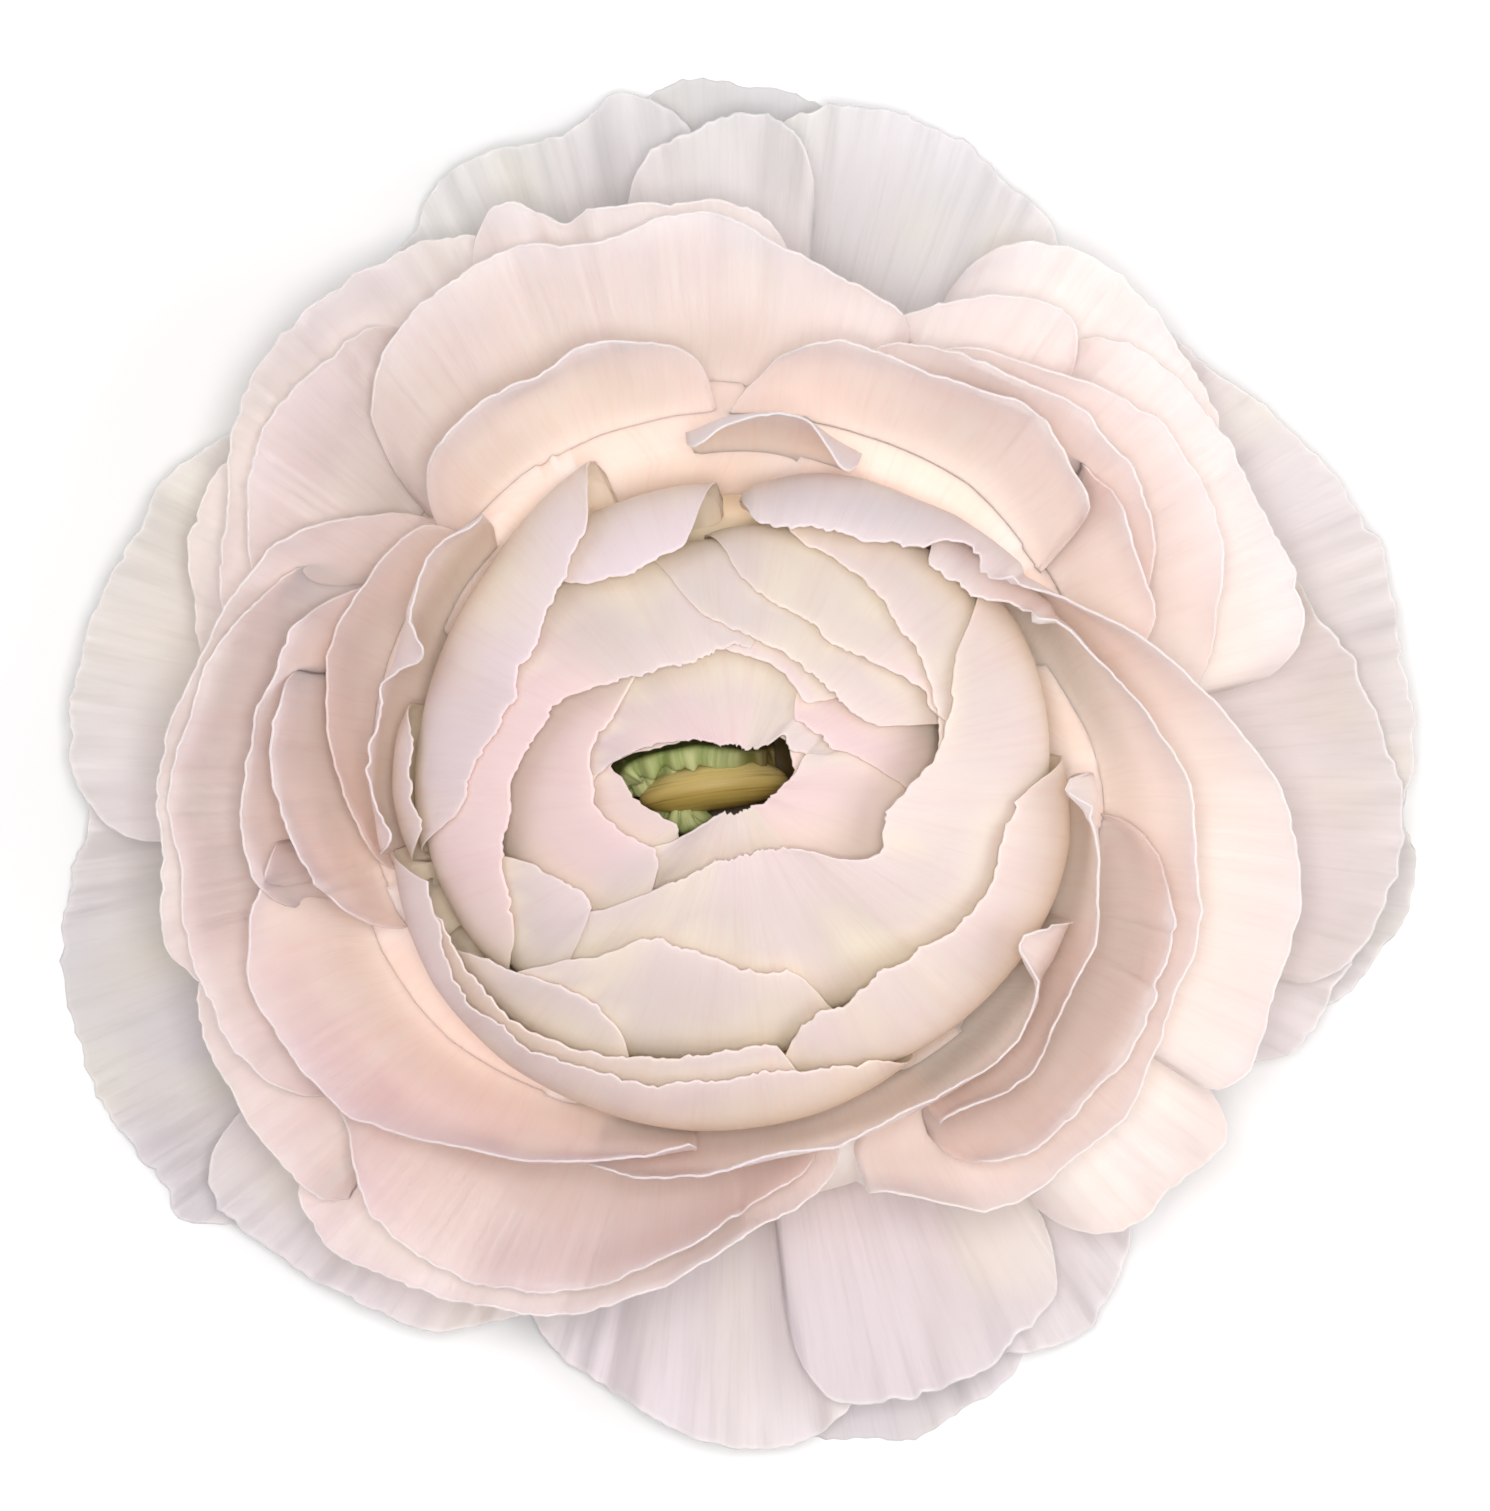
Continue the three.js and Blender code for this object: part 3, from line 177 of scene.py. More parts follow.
HEART_TABLE = [
    [[190, 21.8, 22], [196, 21.4, 22.4], [204, 21.9, 23], [213, 22.3, 23.3], [231, 21.8, 23.2],
     [245, 20.9, 22.6], [262, 19.6, 22], [275, 19, 21.6], [285, 19.4, 21.3], [295, 20.2, 20.9],
     [304, 20, 20.4]],
    [[197, 20.9, 21.4], [203, 21.3, 21.9], [213, 21.4, 22.1], [231, 21, 22], [240, 20.2, 21.5],
     [250, 19.1, 21], [262, 17.7, 20.6], [275, 17.2, 20.2], [286, 17.8, 19.9]],
    [[275, 18.2, 18.6], [284, 16.6, 19], [290, 15.9, 19.4], [296, 16.2, 19.7], [305, 15.5, 20.1],
     [314, 16.1, 20.5], [328, 17.2, 21], [341, 18, 21.4], [350, 18.2, 21.4], [358, 18.7, 21],
     [366, 19.4, 20.6]],
    [[212, 14.4, 17.6], [217, 13.2, 17.6], [221.6, 12.5, 17.6], [227, 10.3, 17.2], [234, 8.1, 16.6],
     [247, 5.9, 15.7], [262, 4.9, 15.3], [275, 4.6, 15.3], [284, 4.5, 15.4], [297, 4.8, 15.8],
     [310, 5.3, 16.6], [320, 6.8, 17.6], [327, 9, 18.4], [332, 10.2, 18.8], [340, 10.3, 19.2],
     [350, 10.2, 19.5], [358, 11, 19.6], [364, 12.1, 19.7], [368, 13.2, 19.8], [375, 14.2, 20],
     [383, 15.4, 20.3], [390, 16.9, 20.4], [396, 18.6, 20.2], [402, 19.3, 20]],
    [[9, 14, 18.6], [20, 14.2, 19], [35, 14.8, 19.2], [46, 14.9, 19.2], [56, 15.8, 18.9],
     [64, 16.1, 18.4], [73, 16.5, 17.9], [80, 16.9, 17.6], [85, 17.3, 17.6]],
    [[358, 13, 17.2], [371, 13.5, 17.8], [381, 13.9, 18], [390, 13.4, 18], [402, 12.1, 17.9],
     [417, 11.3, 17.5], [425, 11.8, 17.2], [440, 12.4, 16.6], [450, 13.5, 16.2], [458, 15, 15.8]],
    [[92.5, 18.5, 19.1], [95, 17.8, 19.1], [99, 16.6, 19.1], [105, 15.8, 19.1], [112, 15.4, 19.1],
     [117, 15.3, 19.2], [123, 16, 19.3], [130, 17.2, 19.4], [137, 18.6, 19.5]],
    [[74, 9.8, 14.9], [84, 9.1, 14.8], [96, 8.8, 14.9], [104, 8.7, 15.1], [112, 8.6, 15.6],
     [120, 8.8, 16.4], [135, 9.8, 17.8], [145, 11.1, 18.8], [155, 12.7, 19.3], [166, 13.6, 19.5],
     [180, 14.6, 19.6], [195, 15.6, 19.5], [210, 17, 19.2], [223, 18.2, 18.6]],
    [[165, 20.8, 21.3], [171, 21.3, 21.6], [181, 21.3, 21.6], [187, 20.6, 21.3], [194, 19.6, 20.8]],
    [[207, 20.4, 20.7], [211, 20.2, 20.7], [221, 18.8, 20.4], [228, 17.4, 20.2], [235, 17, 19.9],
     [243, 17.7, 19.6], [249, 18.6, 19.5], [254, 19.3, 19.5]],
    [[216, 17.8, 19.6], [223, 16.6, 19.5], [230, 14.6, 19.3], [236, 12.6, 19.1], [242, 11.5, 18.8],
     [248, 11.1, 18.3], [256, 11.2, 17.8], [265, 11.5, 17.4], [275, 12.1, 17.1], [284, 12.6, 16.8],
     [291, 13, 16.7], [297, 14.2, 16.8]],
    [[190, 15.6, 18.2], [198, 14.6, 18.3], [206, 13.4, 18.3], [213, 12.4, 18.2], [220, 12.1, 18],
     [226, 12.8, 17.9], [231, 13.9, 17.8]],
    [[349, 10.5, 12.8], [361, 10, 13], [369, 8.8, 13.2], [380, 6.9, 13.4], [395, 6.2, 13.4],
     [410, 6, 13.2], [425, 6.6, 12.8]],
    [[13, 11.4, 15.4], [20, 10.2, 15.8], [30, 9.1, 16.1], [50, 8.7, 16.1], [65, 9, 16],
     [82, 9.6, 15.7], [96, 10.7, 15.5], [104, 12.3, 15.5], [110, 14.2, 15.7], [114, 15.6, 16]],
    [[33, 6.5, 14.2], [50, 6.9, 14.5], [60, 7.6, 14.6], [70, 8.3, 14.6], [82, 8.5, 14.5],
     [95, 8.6, 14.4], [112, 9, 14.6]],
    [[8, 5.6, 12], [18, 5.3, 12.2], [28, 4.7, 12.4], [38, 4.4, 12.6], [46, 4.5, 12.8],
     [51, 3.4, 12.9], [60, 2.8, 13],
     [75, 2.4, 13.1], [95, 2.6, 13.2], [115, 3.1, 13.3], [131, 3.9, 13.4], [145, 4.9, 13.4],
     [157, 6.2, 13.4], [164, 7.2, 13.5], [172, 8.6, 13.6], [180, 9.3, 13.6], [190, 9.9, 13.5],
     [200, 10.6, 13.3]],
    [[120, 3.9, 11.8], [145, 4.8, 12.2], [155, 5.7, 12.4], [165, 7.4, 12.6], [171, 8.2, 12.7],
     [176, 7.4, 12.8], [184, 6.9, 12.9], [192, 6, 13], [203, 5.2, 13], [213, 4.7, 12.9],
     [222, 4.4, 12.7], [236, 3.4, 12.4]],
    [[112, 10.2, 14.2], [125, 9.8, 14.2], [138, 9.5, 14.2], [152, 9.2, 14.4], [165, 9.6, 14.8],
     [180, 9.4, 15.1], [195, 8.5, 15.2], [208, 7.5, 15.2], [220, 6.9, 15.1],
     [231, 7.3, 15], [241, 8.2, 14.9]],
    [[206, 6, 13.9], [216, 5, 13.9], [222, 4.7, 13.9], [228, 3.7, 13.8], [236, 2.5, 13.7],
     [246, 2, 13.6], [268, 1.8, 13.5], [295, 1.7, 13.4], [316, 1.7, 13.4], [330, 2.1, 13.4],
     [345, 2.6, 13.3], [356, 2.9, 13.1], [368, 3.7, 12.8], [381, 4.2, 12.4], [392, 4.9, 12.1],
     [402, 6, 11.8]],
    [[326, 2.7, 11.8], [345, 2.7, 11.8], [360, 3.3, 11.7], [375, 3.9, 11.6], [390, 4.1, 11.5],
     [402, 4.2, 11.4], [412, 3.8, 11.2], [424, 3.6, 11], [436, 4, 10.8]],
    [[112.6, 22.4, 22.8], [114, 22.6, 22.9], [116, 21, 22.6], [119, 19.8, 22.2], [123, 19, 21.8],
     [130, 17.6, 21.2], [138, 16.7, 20.6], [147, 15.9, 20.3], [158, 15.6, 20.1], [170, 16.4, 20],
     [182, 17.6, 20], [193, 19.2, 20]],
]


# ---- small maths ----
def smooth(low: float, high: float, x: np.ndarray) -> np.ndarray:
    """Smooth step.

    Args:
        low: Where the step starts.
        high: Where it ends.
        x: Values.

    Returns:
        0 below low, 1 above high and a smooth rise between.
    """
    t = np.clip((np.asarray(x, dtype=float) - low) / (high - low), 0.0, 1.0)
    return t * t * (3.0 - 2.0 * t)


def catmull(a: np.ndarray, b: np.ndarray, c: np.ndarray, d: np.ndarray, t: np.ndarray) -> np.ndarray:
    """Catmull-Rom curve between b and c.

    Args:
        a: Point before b.
        b: Start.
        c: End.
        d: Point after c.
        t: Share of the way from b to c.

    Returns:
        The points at t.
    """
    t2 = t * t
    t3 = t2 * t
    return 0.5 * (2 * b + (c - a) * t + (2 * a - 5 * b + 4 * c - d) * t2 + (3 * b - a - 3 * c + d) * t3)


def draw(a: float, b: float) -> float:
    """A repeatable draw.

    Args:
        a: First seed.
        b: Second seed.

    Returns:
        A number in 0..1 that depends only on its seeds.
    """
    x = math.sin(a * 127.1 + b * 311.7) * 43758.5453
    return x - math.floor(x)


def waves(x: np.ndarray, seed: float, periods: tuple[float, ...], gain: float = 0.62) -> np.ndarray:
    """An uneven wave, for margins.

    Args:
        x: Places along the margin, in millimetres.
        seed: Seed of the phases.
        periods: Wavelengths, in millimetres.
        gain: Height of each wave against the one before.

    Returns:
        Values of about -1..1.
    """
    total = np.zeros_like(x, dtype=float)
    height, whole = 1.0, 0.0
    for n, period in enumerate(periods):
        phase = 2.0 * math.pi * draw(seed, n + 3.0)
        bent = x + 0.35 * period * np.sin(2.0 * math.pi * x / (2.7 * period) + 1.7 * phase)
        total += height * np.sin(2.0 * math.pi * bent / period + phase)
        whole += height
        height *= gain
    return total / whole


def linear(srgb: tuple[float, float, float]) -> np.ndarray:
    """A colour for the renderer.

    Args:
        srgb: Red, green and blue on the 0..255 screen scale.

    Returns:
        The linear colour.
    """
    c = np.array(srgb, dtype=float) / 255.0
    return np.where(c <= 0.04045, c / 12.92, ((c + 0.055) / 1.055) ** 2.4)


# ---- shells ----
@dataclass(frozen=True)
class ShellFamily:
    """The nested cups that all petals follow.

    Args:
        numbers: Shell numbers, rising.
        ribs: Rib points of each, (shells, points, 2).
    """

    numbers: np.ndarray
    ribs: np.ndarray

    def ribs_at(self, shell: np.ndarray) -> np.ndarray:
        """Ribs of any shells.

        Args:
            shell: Shell numbers.

        Returns:
            Rib points, (len(shell), points, 2).
        """
        i = np.clip(np.searchsorted(self.numbers, shell) - 1, 0, len(self.numbers) - 2)
        t = (shell - self.numbers[i]) / (self.numbers[i + 1] - self.numbers[i])
        return self.ribs[i] + (self.ribs[i + 1] - self.ribs[i]) * t[:, None, None]

    def along(self, ribs: np.ndarray, v: np.ndarray) -> np.ndarray:
        """Points on ribs.

        Args:
            ribs: One rib for each value of v.
            v: Share of the rib, past 1 straight on.

        Returns:
            [radius, height] of each.
        """
        last = ribs.shape[1] - 1
        at = np.minimum(v, 1.0) * last
        i = np.clip(np.floor(at).astype(int), 0, last - 1)
        n = np.arange(len(v))
        t = (at - i)[:, None]
        points = catmull(
            ribs[n, np.maximum(i - 1, 0)], ribs[n, i], ribs[n, i + 1], ribs[n, np.minimum(i + 2, last)], t
        )
        past = v > 1.0
        if past.any():
            back = self.along(ribs[past], np.full(int(past.sum()), 0.97))
            points[past] += (points[past] - back) * ((v[past] - 1.0) / 0.03)[:, None]
        return points

    def reach(self, ribs: np.ndarray, rim: np.ndarray, curled: bool) -> np.ndarray:
        """Where each rib comes to its rim's radius.

        Args:
            ribs: One rib for each rim.
            rim: Rim radii.
            curled: True where the rim closes inwards, which is looked for from the top.

        Returns:
            The share of each rib.
        """
        steps = np.arange(1.0, 0.16, -0.01) if curled else np.arange(0.3, 1.141, 0.01)
        found = np.ones(len(rim))
        open_ended = ribs[:, -1, 0] < rim if curled else np.ones(len(rim), dtype=bool)
        before = self.along(ribs, np.full(len(rim), steps[0]))[:, 0] - rim
        left = open_ended.copy()
        for a, b in zip(steps[:-1], steps[1:]):
            now = self.along(ribs, np.full(len(rim), b))[:, 0] - rim
            hit = left & (before * now <= 0) & (before != now)
            found[hit] = b - (b - a) * now[hit] / (now[hit] - before[hit])
            left &= ~hit
            before = now
        return found


# ---- finishes ----
class Tone(Enum):
    """Screen colours of living petals, red, green and blue."""

    # Painted highlight: the pale line along the very margin of each petal.
    PAINTED_RIM_LIGHT = (252, 245, 243)
    BLUSH = (246, 220, 216)
    PEACH = (255, 238, 216)
    PETAL = (244, 216, 214)
    ROSE = (243, 208, 210)
    ORCHID = (238, 215, 220)
    LAVENDER = (233, 216, 227)
    MIST = (226, 218, 226)
    IVORY = (240, 234, 208)
    BUTTER = (253, 240, 206)
    # Painted glow: light, warm tones mixed in where neighbours close off the sky, for heart, cup and guard
    # petals.
    PAINTED_RECESS_HONEY = (255, 242, 216)
    GLOW = (255, 232, 221)
    PAINTED_RECESS_SHELL = (248, 232, 226)
    SAGE = (217, 218, 210)
    LEAF = (128, 148, 74)
    LEAF_PALE = (204, 208, 146)
    LEAF_DEEP = (84, 104, 46)
    OCHRE = (186, 158, 82)
    OCHRE_PALE = (232, 208, 138)
    UMBER = (112, 88, 48)

    def linear(self) -> np.ndarray:
        """The tone for the renderer.

        Returns:
            Linear red, green and blue.
        """
        return linear(self.value)


@dataclass
class NodeSheet:
    """Adds nodes to a tree.

    Args:
        tree: The tree.
    """

    tree: bpy.types.NodeTree

    def add(self, kind: str, given: dict | None = None, **settings: object) -> bpy.types.Node:
        """Adds a node.

        Args:
            kind: Its type.
            given: What each input gets: a socket is linked, a value is set.
            settings: Its properties.

        Returns:
            The node.
        """
        node = self.tree.nodes.new(kind)
        for name, value in settings.items():
            setattr(node, name, value)
        for key, value in (given or {}).items():
            if isinstance(value, bpy.types.NodeSocket):
                self.tree.links.new(value, node.inputs[key])
            else:
                node.inputs[key].default_value = value
        return node


@dataclass(frozen=True)
class PetalFinish:
    """Look of a petal's skin.

    Args:
        name: Material name.
        streak: How dark the veins are, 0..1.
        relief: Height of the veins, in millimetres.
        roughness: Gloss of the skin.
        glow: Share of light that goes in and comes out elsewhere.
        blood: Tint of the veins.
    """

    name: str
    streak: float
    relief: float
    roughness: float
    glow: float
    blood: Tone

    def material(self) -> bpy.types.Material:
        """Builds the material.

        Returns:
            A material that reads the attributes tone and vein.
        """
        mat = bpy.data.materials.new(self.name)
        mat.use_nodes = True
        mat.node_tree.nodes.clear()
        sheet = NodeSheet(mat.node_tree)
        tone = sheet.add("ShaderNodeAttribute", attribute_name="tone")
        vein = sheet.add("ShaderNodeAttribute", attribute_name="vein")

        def noise(scale: tuple[float, float, float], detail: float, rough: float) -> bpy.types.NodeSocket:
            """Noise stretched along the petal."""
            place = sheet.add("ShaderNodeMapping", {"Vector": vein.outputs["Vector"], "Scale": scale})
            given = {"Vector": place.outputs["Vector"], "Scale": 1.0, "Detail": detail, "Roughness": rough}
            return sheet.add("ShaderNodeTexNoise", given).outputs["Fac"]

        def step(value: bpy.types.NodeSocket, low: float, high: float) -> bpy.types.NodeSocket:
            """A smooth step of a value."""
            given = {"Value": value, "From Min": low, "From Max": high}
            return sheet.add("ShaderNodeMapRange", given, interpolation_type="SMOOTHSTEP").outputs["Result"]

        fine = noise((1.9, 0.10, 1.0), 3.0, 0.6)
        lines = step(fine, 0.46, 0.74)
        bands = step(noise((0.42, 0.05, 1.0), 2.0, 0.5), 0.42, 0.72)
        wide = sheet.add("ShaderNodeMath", {0: bands, 1: self.streak * 0.55}, operation="MULTIPLY")
        given = {0: lines, 1: self.streak, 2: wide.outputs["Value"]}
        darker = sheet.add("ShaderNodeMath", given, operation="MULTIPLY_ADD")
        blood = (*self.blood.linear(), 1.0)
        given = {"Factor": darker.outputs["Value"], "A": tone.outputs["Color"], "B": blood}
        mixed = sheet.add("ShaderNodeMix", given, data_type="RGBA", blend_type="MULTIPLY")
        bump = sheet.add("ShaderNodeBump", {"Strength": 1.0, "Distance": self.relief * MM, "Height": fine})
        given = {
            "Base Color": mixed.outputs["Result"],
            "Normal": bump.outputs["Normal"],
            "Roughness": self.roughness,
            "Specular IOR Level": 0.3,
            "Subsurface Weight": self.glow,
            "Subsurface Radius": (1.0, 0.92, 0.88),
            "Subsurface Scale": 1.2 * MM,
        }
        skin = sheet.add("ShaderNodeBsdfPrincipled", given)
        sheet.add("ShaderNodeOutputMaterial", {"Surface": skin.outputs["BSDF"]})
        return mat


@dataclass(frozen=True)
class PlainFinish:
    """An even surface.

    Args:
        name: Material name.
        colour: Linear colour.
        roughness: Gloss.
    """

    name: str
    colour: tuple[float, float, float]
    roughness: float

    def material(self) -> bpy.types.Material:
        """Builds the material.

        Returns:
            The material.
        """
        mat = bpy.data.materials.new(self.name)
        mat.use_nodes = True
        skin = mat.node_tree.nodes["Principled BSDF"]
        skin.inputs["Base Color"].default_value = (*self.colour, 1.0)
        skin.inputs["Roughness"].default_value = self.roughness
        return mat


# ---- meshes ----
@dataclass
class Shape:
    """Vertices and faces that become one piece.

    Args:
        places: Vertices in millimetres from the bloom's axis.
        faces: Corners of each quad.
        tones: Linear colour of each vertex.
        veins: Place of each vertex on its petal, in millimetres across and along, with a seed.
        grids: First vertex, columns and rows of each blade.
        count: Vertices so far.
    """

    places: list[np.ndarray] = field(default_factory=list)
    faces: list[np.ndarray] = field(default_factory=list)
    tones: list[np.ndarray] = field(default_factory=list)
    veins: list[np.ndarray] = field(default_factory=list)
    grids: list[tuple[int, int, int]] = field(default_factory=list)
    count: int = 0

    def add(self, places: np.ndarray, faces: np.ndarray, tones: np.ndarray, veins: np.ndarray,
            columns: int = 0) -> None:
        """Adds one closed body.

        Args:
            places: Its vertices.
            faces: Its quads.
            tones: Its colours.
            veins: Its places on the petal.
            columns: For a blade, the lines of vertices across it on each face.
        """
        if columns:
            self.grids.append((self.count, columns, len(places) // 2 // columns))
        self.places.append(places)
        self.faces.append(faces + self.count)
        self.tones.append(tones)
        self.veins.append(veins)
        self.count += len(places)

    def build(self, name: str, axis: np.ndarray, material: bpy.types.Material) -> bpy.types.Object:
        """Makes the piece.

        Args:
            name: Its name.
            axis: The bloom's axis in the row frame, in metres.
            material: Its finish.

        Returns:
            The object, at the origin.
        """
        places = np.concatenate(self.places) * MM + axis
        faces = np.concatenate(self.faces).astype(np.int32)
        tones = np.concatenate(self.tones)
        veins = np.concatenate(self.veins)
        mesh = bpy.data.meshes.new(name)
        mesh.vertices.add(len(places))
        mesh.vertices.foreach_set("co", places.astype(np.float32).ravel())
        mesh.loops.add(faces.size)
        mesh.loops.foreach_set("vertex_index", faces.ravel())
        mesh.polygons.add(len(faces))
        mesh.polygons.foreach_set("loop_start", np.arange(len(faces), dtype=np.int32) * 4)
        mesh.update(calc_edges=True)
        mesh.polygons.foreach_set("use_smooth", np.ones(len(faces), dtype=bool))
        tone = mesh.attributes.new("tone", "FLOAT_COLOR", "POINT")
        rgba = np.concatenate([tones, np.ones((len(tones), 1))], axis=1)
        tone.data.foreach_set("color", rgba.astype(np.float32).ravel())
        vein = mesh.attributes.new("vein", "FLOAT_VECTOR", "POINT")
        vein.data.foreach_set("vector", veins.astype(np.float32).ravel())
        mesh.materials.append(material)
        mesh.validate()
        obj = bpy.data.objects.new(name, mesh)
        bpy.context.scene.collection.objects.link(obj)
        return obj


def slab(middle: np.ndarray, thick: np.ndarray) -> tuple[np.ndarray, np.ndarray]:
    """A closed blade round a middle surface, nowhere under height 0.

    Args:
        middle: Grid of points, (columns, rows, 3), in millimetres.
        thick: Thickness at each point, (columns, rows).

    Returns:
        Vertices and quads. The upper face's grid comes first, then the lower one's.
    """
    across = np.gradient(middle, axis=0)
    along = np.gradient(middle, axis=1)
    normal = np.cross(across, along)
    normal /= np.maximum(np.linalg.norm(normal, axis=2, keepdims=True), 1e-9)
    half = 0.5 * thick[..., None]
    upper = middle + normal * half
    lower = middle - normal * half
    up = normal[..., 2] > 0
    upper[..., 2] = np.maximum(upper[..., 2], np.where(up, thick, 0.0))
    lower[..., 2] = np.maximum(lower[..., 2], np.where(up, 0.0, thick))
    columns, rows = thick.shape
    index = np.arange(columns * rows).reshape(columns, rows)
    a, b = index[:-1, :-1].ravel(), index[1:, :-1].ravel()
    c, d = index[1:, 1:].ravel(), index[:-1, 1:].ravel()
    size = columns * rows
    faces = [np.stack([a, b, c, d], 1), np.stack([a, d, c, b], 1) + size]
    ring = np.concatenate([index[:-1, 0], index[-1, :-1], index[:0:-1, -1], index[0, :0:-1]])
    after = np.roll(ring, -1)
    faces.append(np.stack([ring, ring + size, after + size, after], 1))
    return np.concatenate([upper.reshape(-1, 3), lower.reshape(-1, 3)]), np.concatenate(faces)


def turned(profile: list[tuple[float, float]], sides: int) -> tuple[np.ndarray, np.ndarray]:
    """A body of revolution.

    Args:
        profile: (radius, height) from the lower point on the axis to the upper one.
        sides: Sides round, an even number.

    Returns:
        Vertices and quads.
    """
    angles = 2.0 * math.pi * np.arange(sides) / sides
    rings = [(r * math.cos(a), r * math.sin(a), z) for r, z in profile[1:-1] for a in angles]
    places = np.array([(0.0, 0.0, profile[0][1]), *rings, (0.0, 0.0, profile[-1][1])])
    s = np.arange(sides)
    t = (s + 1) % sides
    faces = []
    for k in range(len(profile) - 3):
        low, high = 1 + k * sides, 1 + (k + 1) * sides
        faces.append(np.stack([low + s, low + t, high + t, high + s], 1))
    even, last, top = s[::2], len(places) - 1, 1 + (len(profile) - 3) * sides
    ends = (even + 1) % sides, (even + 2) % sides
    faces.append(np.stack([0 * even, 1 + ends[1], 1 + ends[0], 1 + even], 1))
    faces.append(np.stack([0 * even + last, top + even, top + ends[0], top + ends[1]], 1))
    return places, np.concatenate(faces)


# ---- petals ----
@dataclass(frozen=True)
class ColourStop:
    """Petal colours at one azimuth.

    Args:
        azimuth: Degrees.
        root: Tone low on the petal.
        body: Tone over most of it.
        rim: Tone towards its margin.
    """

    azimuth: float
    root: tuple[float, float, float]
    body: tuple[float, float, float]
    rim: tuple[float, float, float]


@dataclass(frozen=True)
class ColourRing:
    """Petal colours round the bloom.

    Args:
        stops: Stops by rising azimuth, 0..360.
        deep: How far up the root colour runs, as a share of the blade.
        edge: Share of the pale thin line at the very margin, a painted highlight.
        cool: Tone of the uneven cool patches.
        warm: Tone of the uneven warm patches.
        patches: How much of the petal's colour they cover, 0..1.
    """

    stops: tuple[ColourStop, ...]
    deep: float
    edge: float
    cool: Tone
    warm: Tone
    patches: float

    def paint(self, azimuth: np.ndarray, along: np.ndarray, mottle: np.ndarray, patch: np.ndarray,
              shade: float) -> np.ndarray:
        """Colours over a blade.

        Args:
            azimuth: Azimuth of each vertex, in degrees.
            along: Share of the way from root to margin at each vertex.
            mottle: Slow uneven values of about -1..1.
            patch: Others, cool where over 0 and warm where under.
            shade: Lightness of this petal against its neighbours, about 1.

        Returns:
            Linear colours, one for each vertex.
        """
        at = np.mod(azimuth, 360.0)
        rounds = [s.azimuth for s in self.stops] + [self.stops[0].azimuth + 360.0]
        at = np.where(at < rounds[0], at + 360.0, at)

        def mixed(part: str) -> np.ndarray:
            """One of the three tones at each vertex."""
            tones = np.array([linear(getattr(s, part)) for s in (*self.stops, self.stops[0])])
            return np.stack([np.interp(at, rounds, tones[:, k]) for k in range(3)], axis=1)

        up = smooth(0.06, self.deep + 0.3, along + 0.06 * mottle)[:, None]
        colour = mixed("root") * (1 - up) + mixed("body") * up
        tip = (smooth(0.66, 0.99, along + 0.08 * mottle) * 0.9)[:, None]
        colour = colour * (1 - tip) + mixed("rim") * tip
        cool = (np.clip(patch, 0, 1) * self.patches)[:, None]
        warm = (np.clip(-patch, 0, 1) * self.patches)[:, None]
        colour = colour + (self.cool.linear() - colour) * cool + (self.warm.linear() - colour) * warm
        # Painted highlight: a pale thin line at the very margin.
        line = (smooth(0.98, 0.997, along) * self.edge * (0.7 + 0.5 * mottle))[:, None]
        return (colour * (1 - line) + Tone.PAINTED_RIM_LIGHT.linear() * line) * shade


@dataclass(frozen=True)
class Blush:
    """A wash of colour on one petal.

    Args:
        petal: Its number in the table.
        start: Azimuth where it starts, in degrees.
        end: Azimuth where it ends.
        low: Share of the blade, from the root, where it starts.
        strength: How much of the petal's own colour it covers, 0..1.
        tone: Its colour.
    """

    petal: int
    start: float
    end: float
    low: float
    strength: float
    tone: Tone

    def over(self, colour: np.ndarray, azimuth: np.ndarray, along: np.ndarray) -> np.ndarray:
        """Lays the wash over a blade.

        Args:
            colour: Colours of its vertices.
            azimuth: Azimuth of each, in degrees.
            along: Share of the way from root to margin at each.

        Returns:
            The new colours.
        """
        half = (self.end - self.start) / 2
        inside = 1 - np.abs(azimuth - (self.start + half)) / half
        share = self.strength * smooth(0.0, 0.5, inside) * smooth(self.low, self.low + 0.25, along)
        return colour + (self.tone.linear() - colour) * share[:, None]


@dataclass(frozen=True)
class PetalKind:
    """How one kind of petal is built.

    Args:
        table: Margin points of each petal.
        root: Share of the rib where the drawn blade starts.
        start: Share of the rib where the fine blade starts, lower down and hidden.
        claw: Width of the claw against the blade.
        drop: How much lower the corners are, as a share of the rib.
        corner: How far from each end the margin rounds off, in millimetres.
        shells: Least and greatest shell number.
        fold: Shells that the claws lie on.
        opening: Shares of the blade between which it leaves them for its own shell.
        ripple: Depth of the slow waves, in millimetres.
        ripple_every: Degrees between them.
        curled: True where the margin closes inwards.
        ruffle: Depth of the quicker waves near the margin.
        frill: Depth of the cuts in the margin.
        lip: How far the margin turns outwards, in millimetres.
        thick: Thickness at the root and at the margin, in millimetres.
        colours: Its colours.
        blushes: Washes on single petals.
    """

    table: tuple
    root: float
    start: float
    claw: float
    drop: float
    corner: float
    shells: tuple[float, float]
    fold: tuple[float, float]
    opening: tuple[float, float]
    ripple: float
    ripple_every: float
    curled: bool
    ruffle: float
    frill: float
    lip: float
    thick: tuple[float, float]
    colours: ColourRing
    blushes: tuple[Blush, ...] = ()


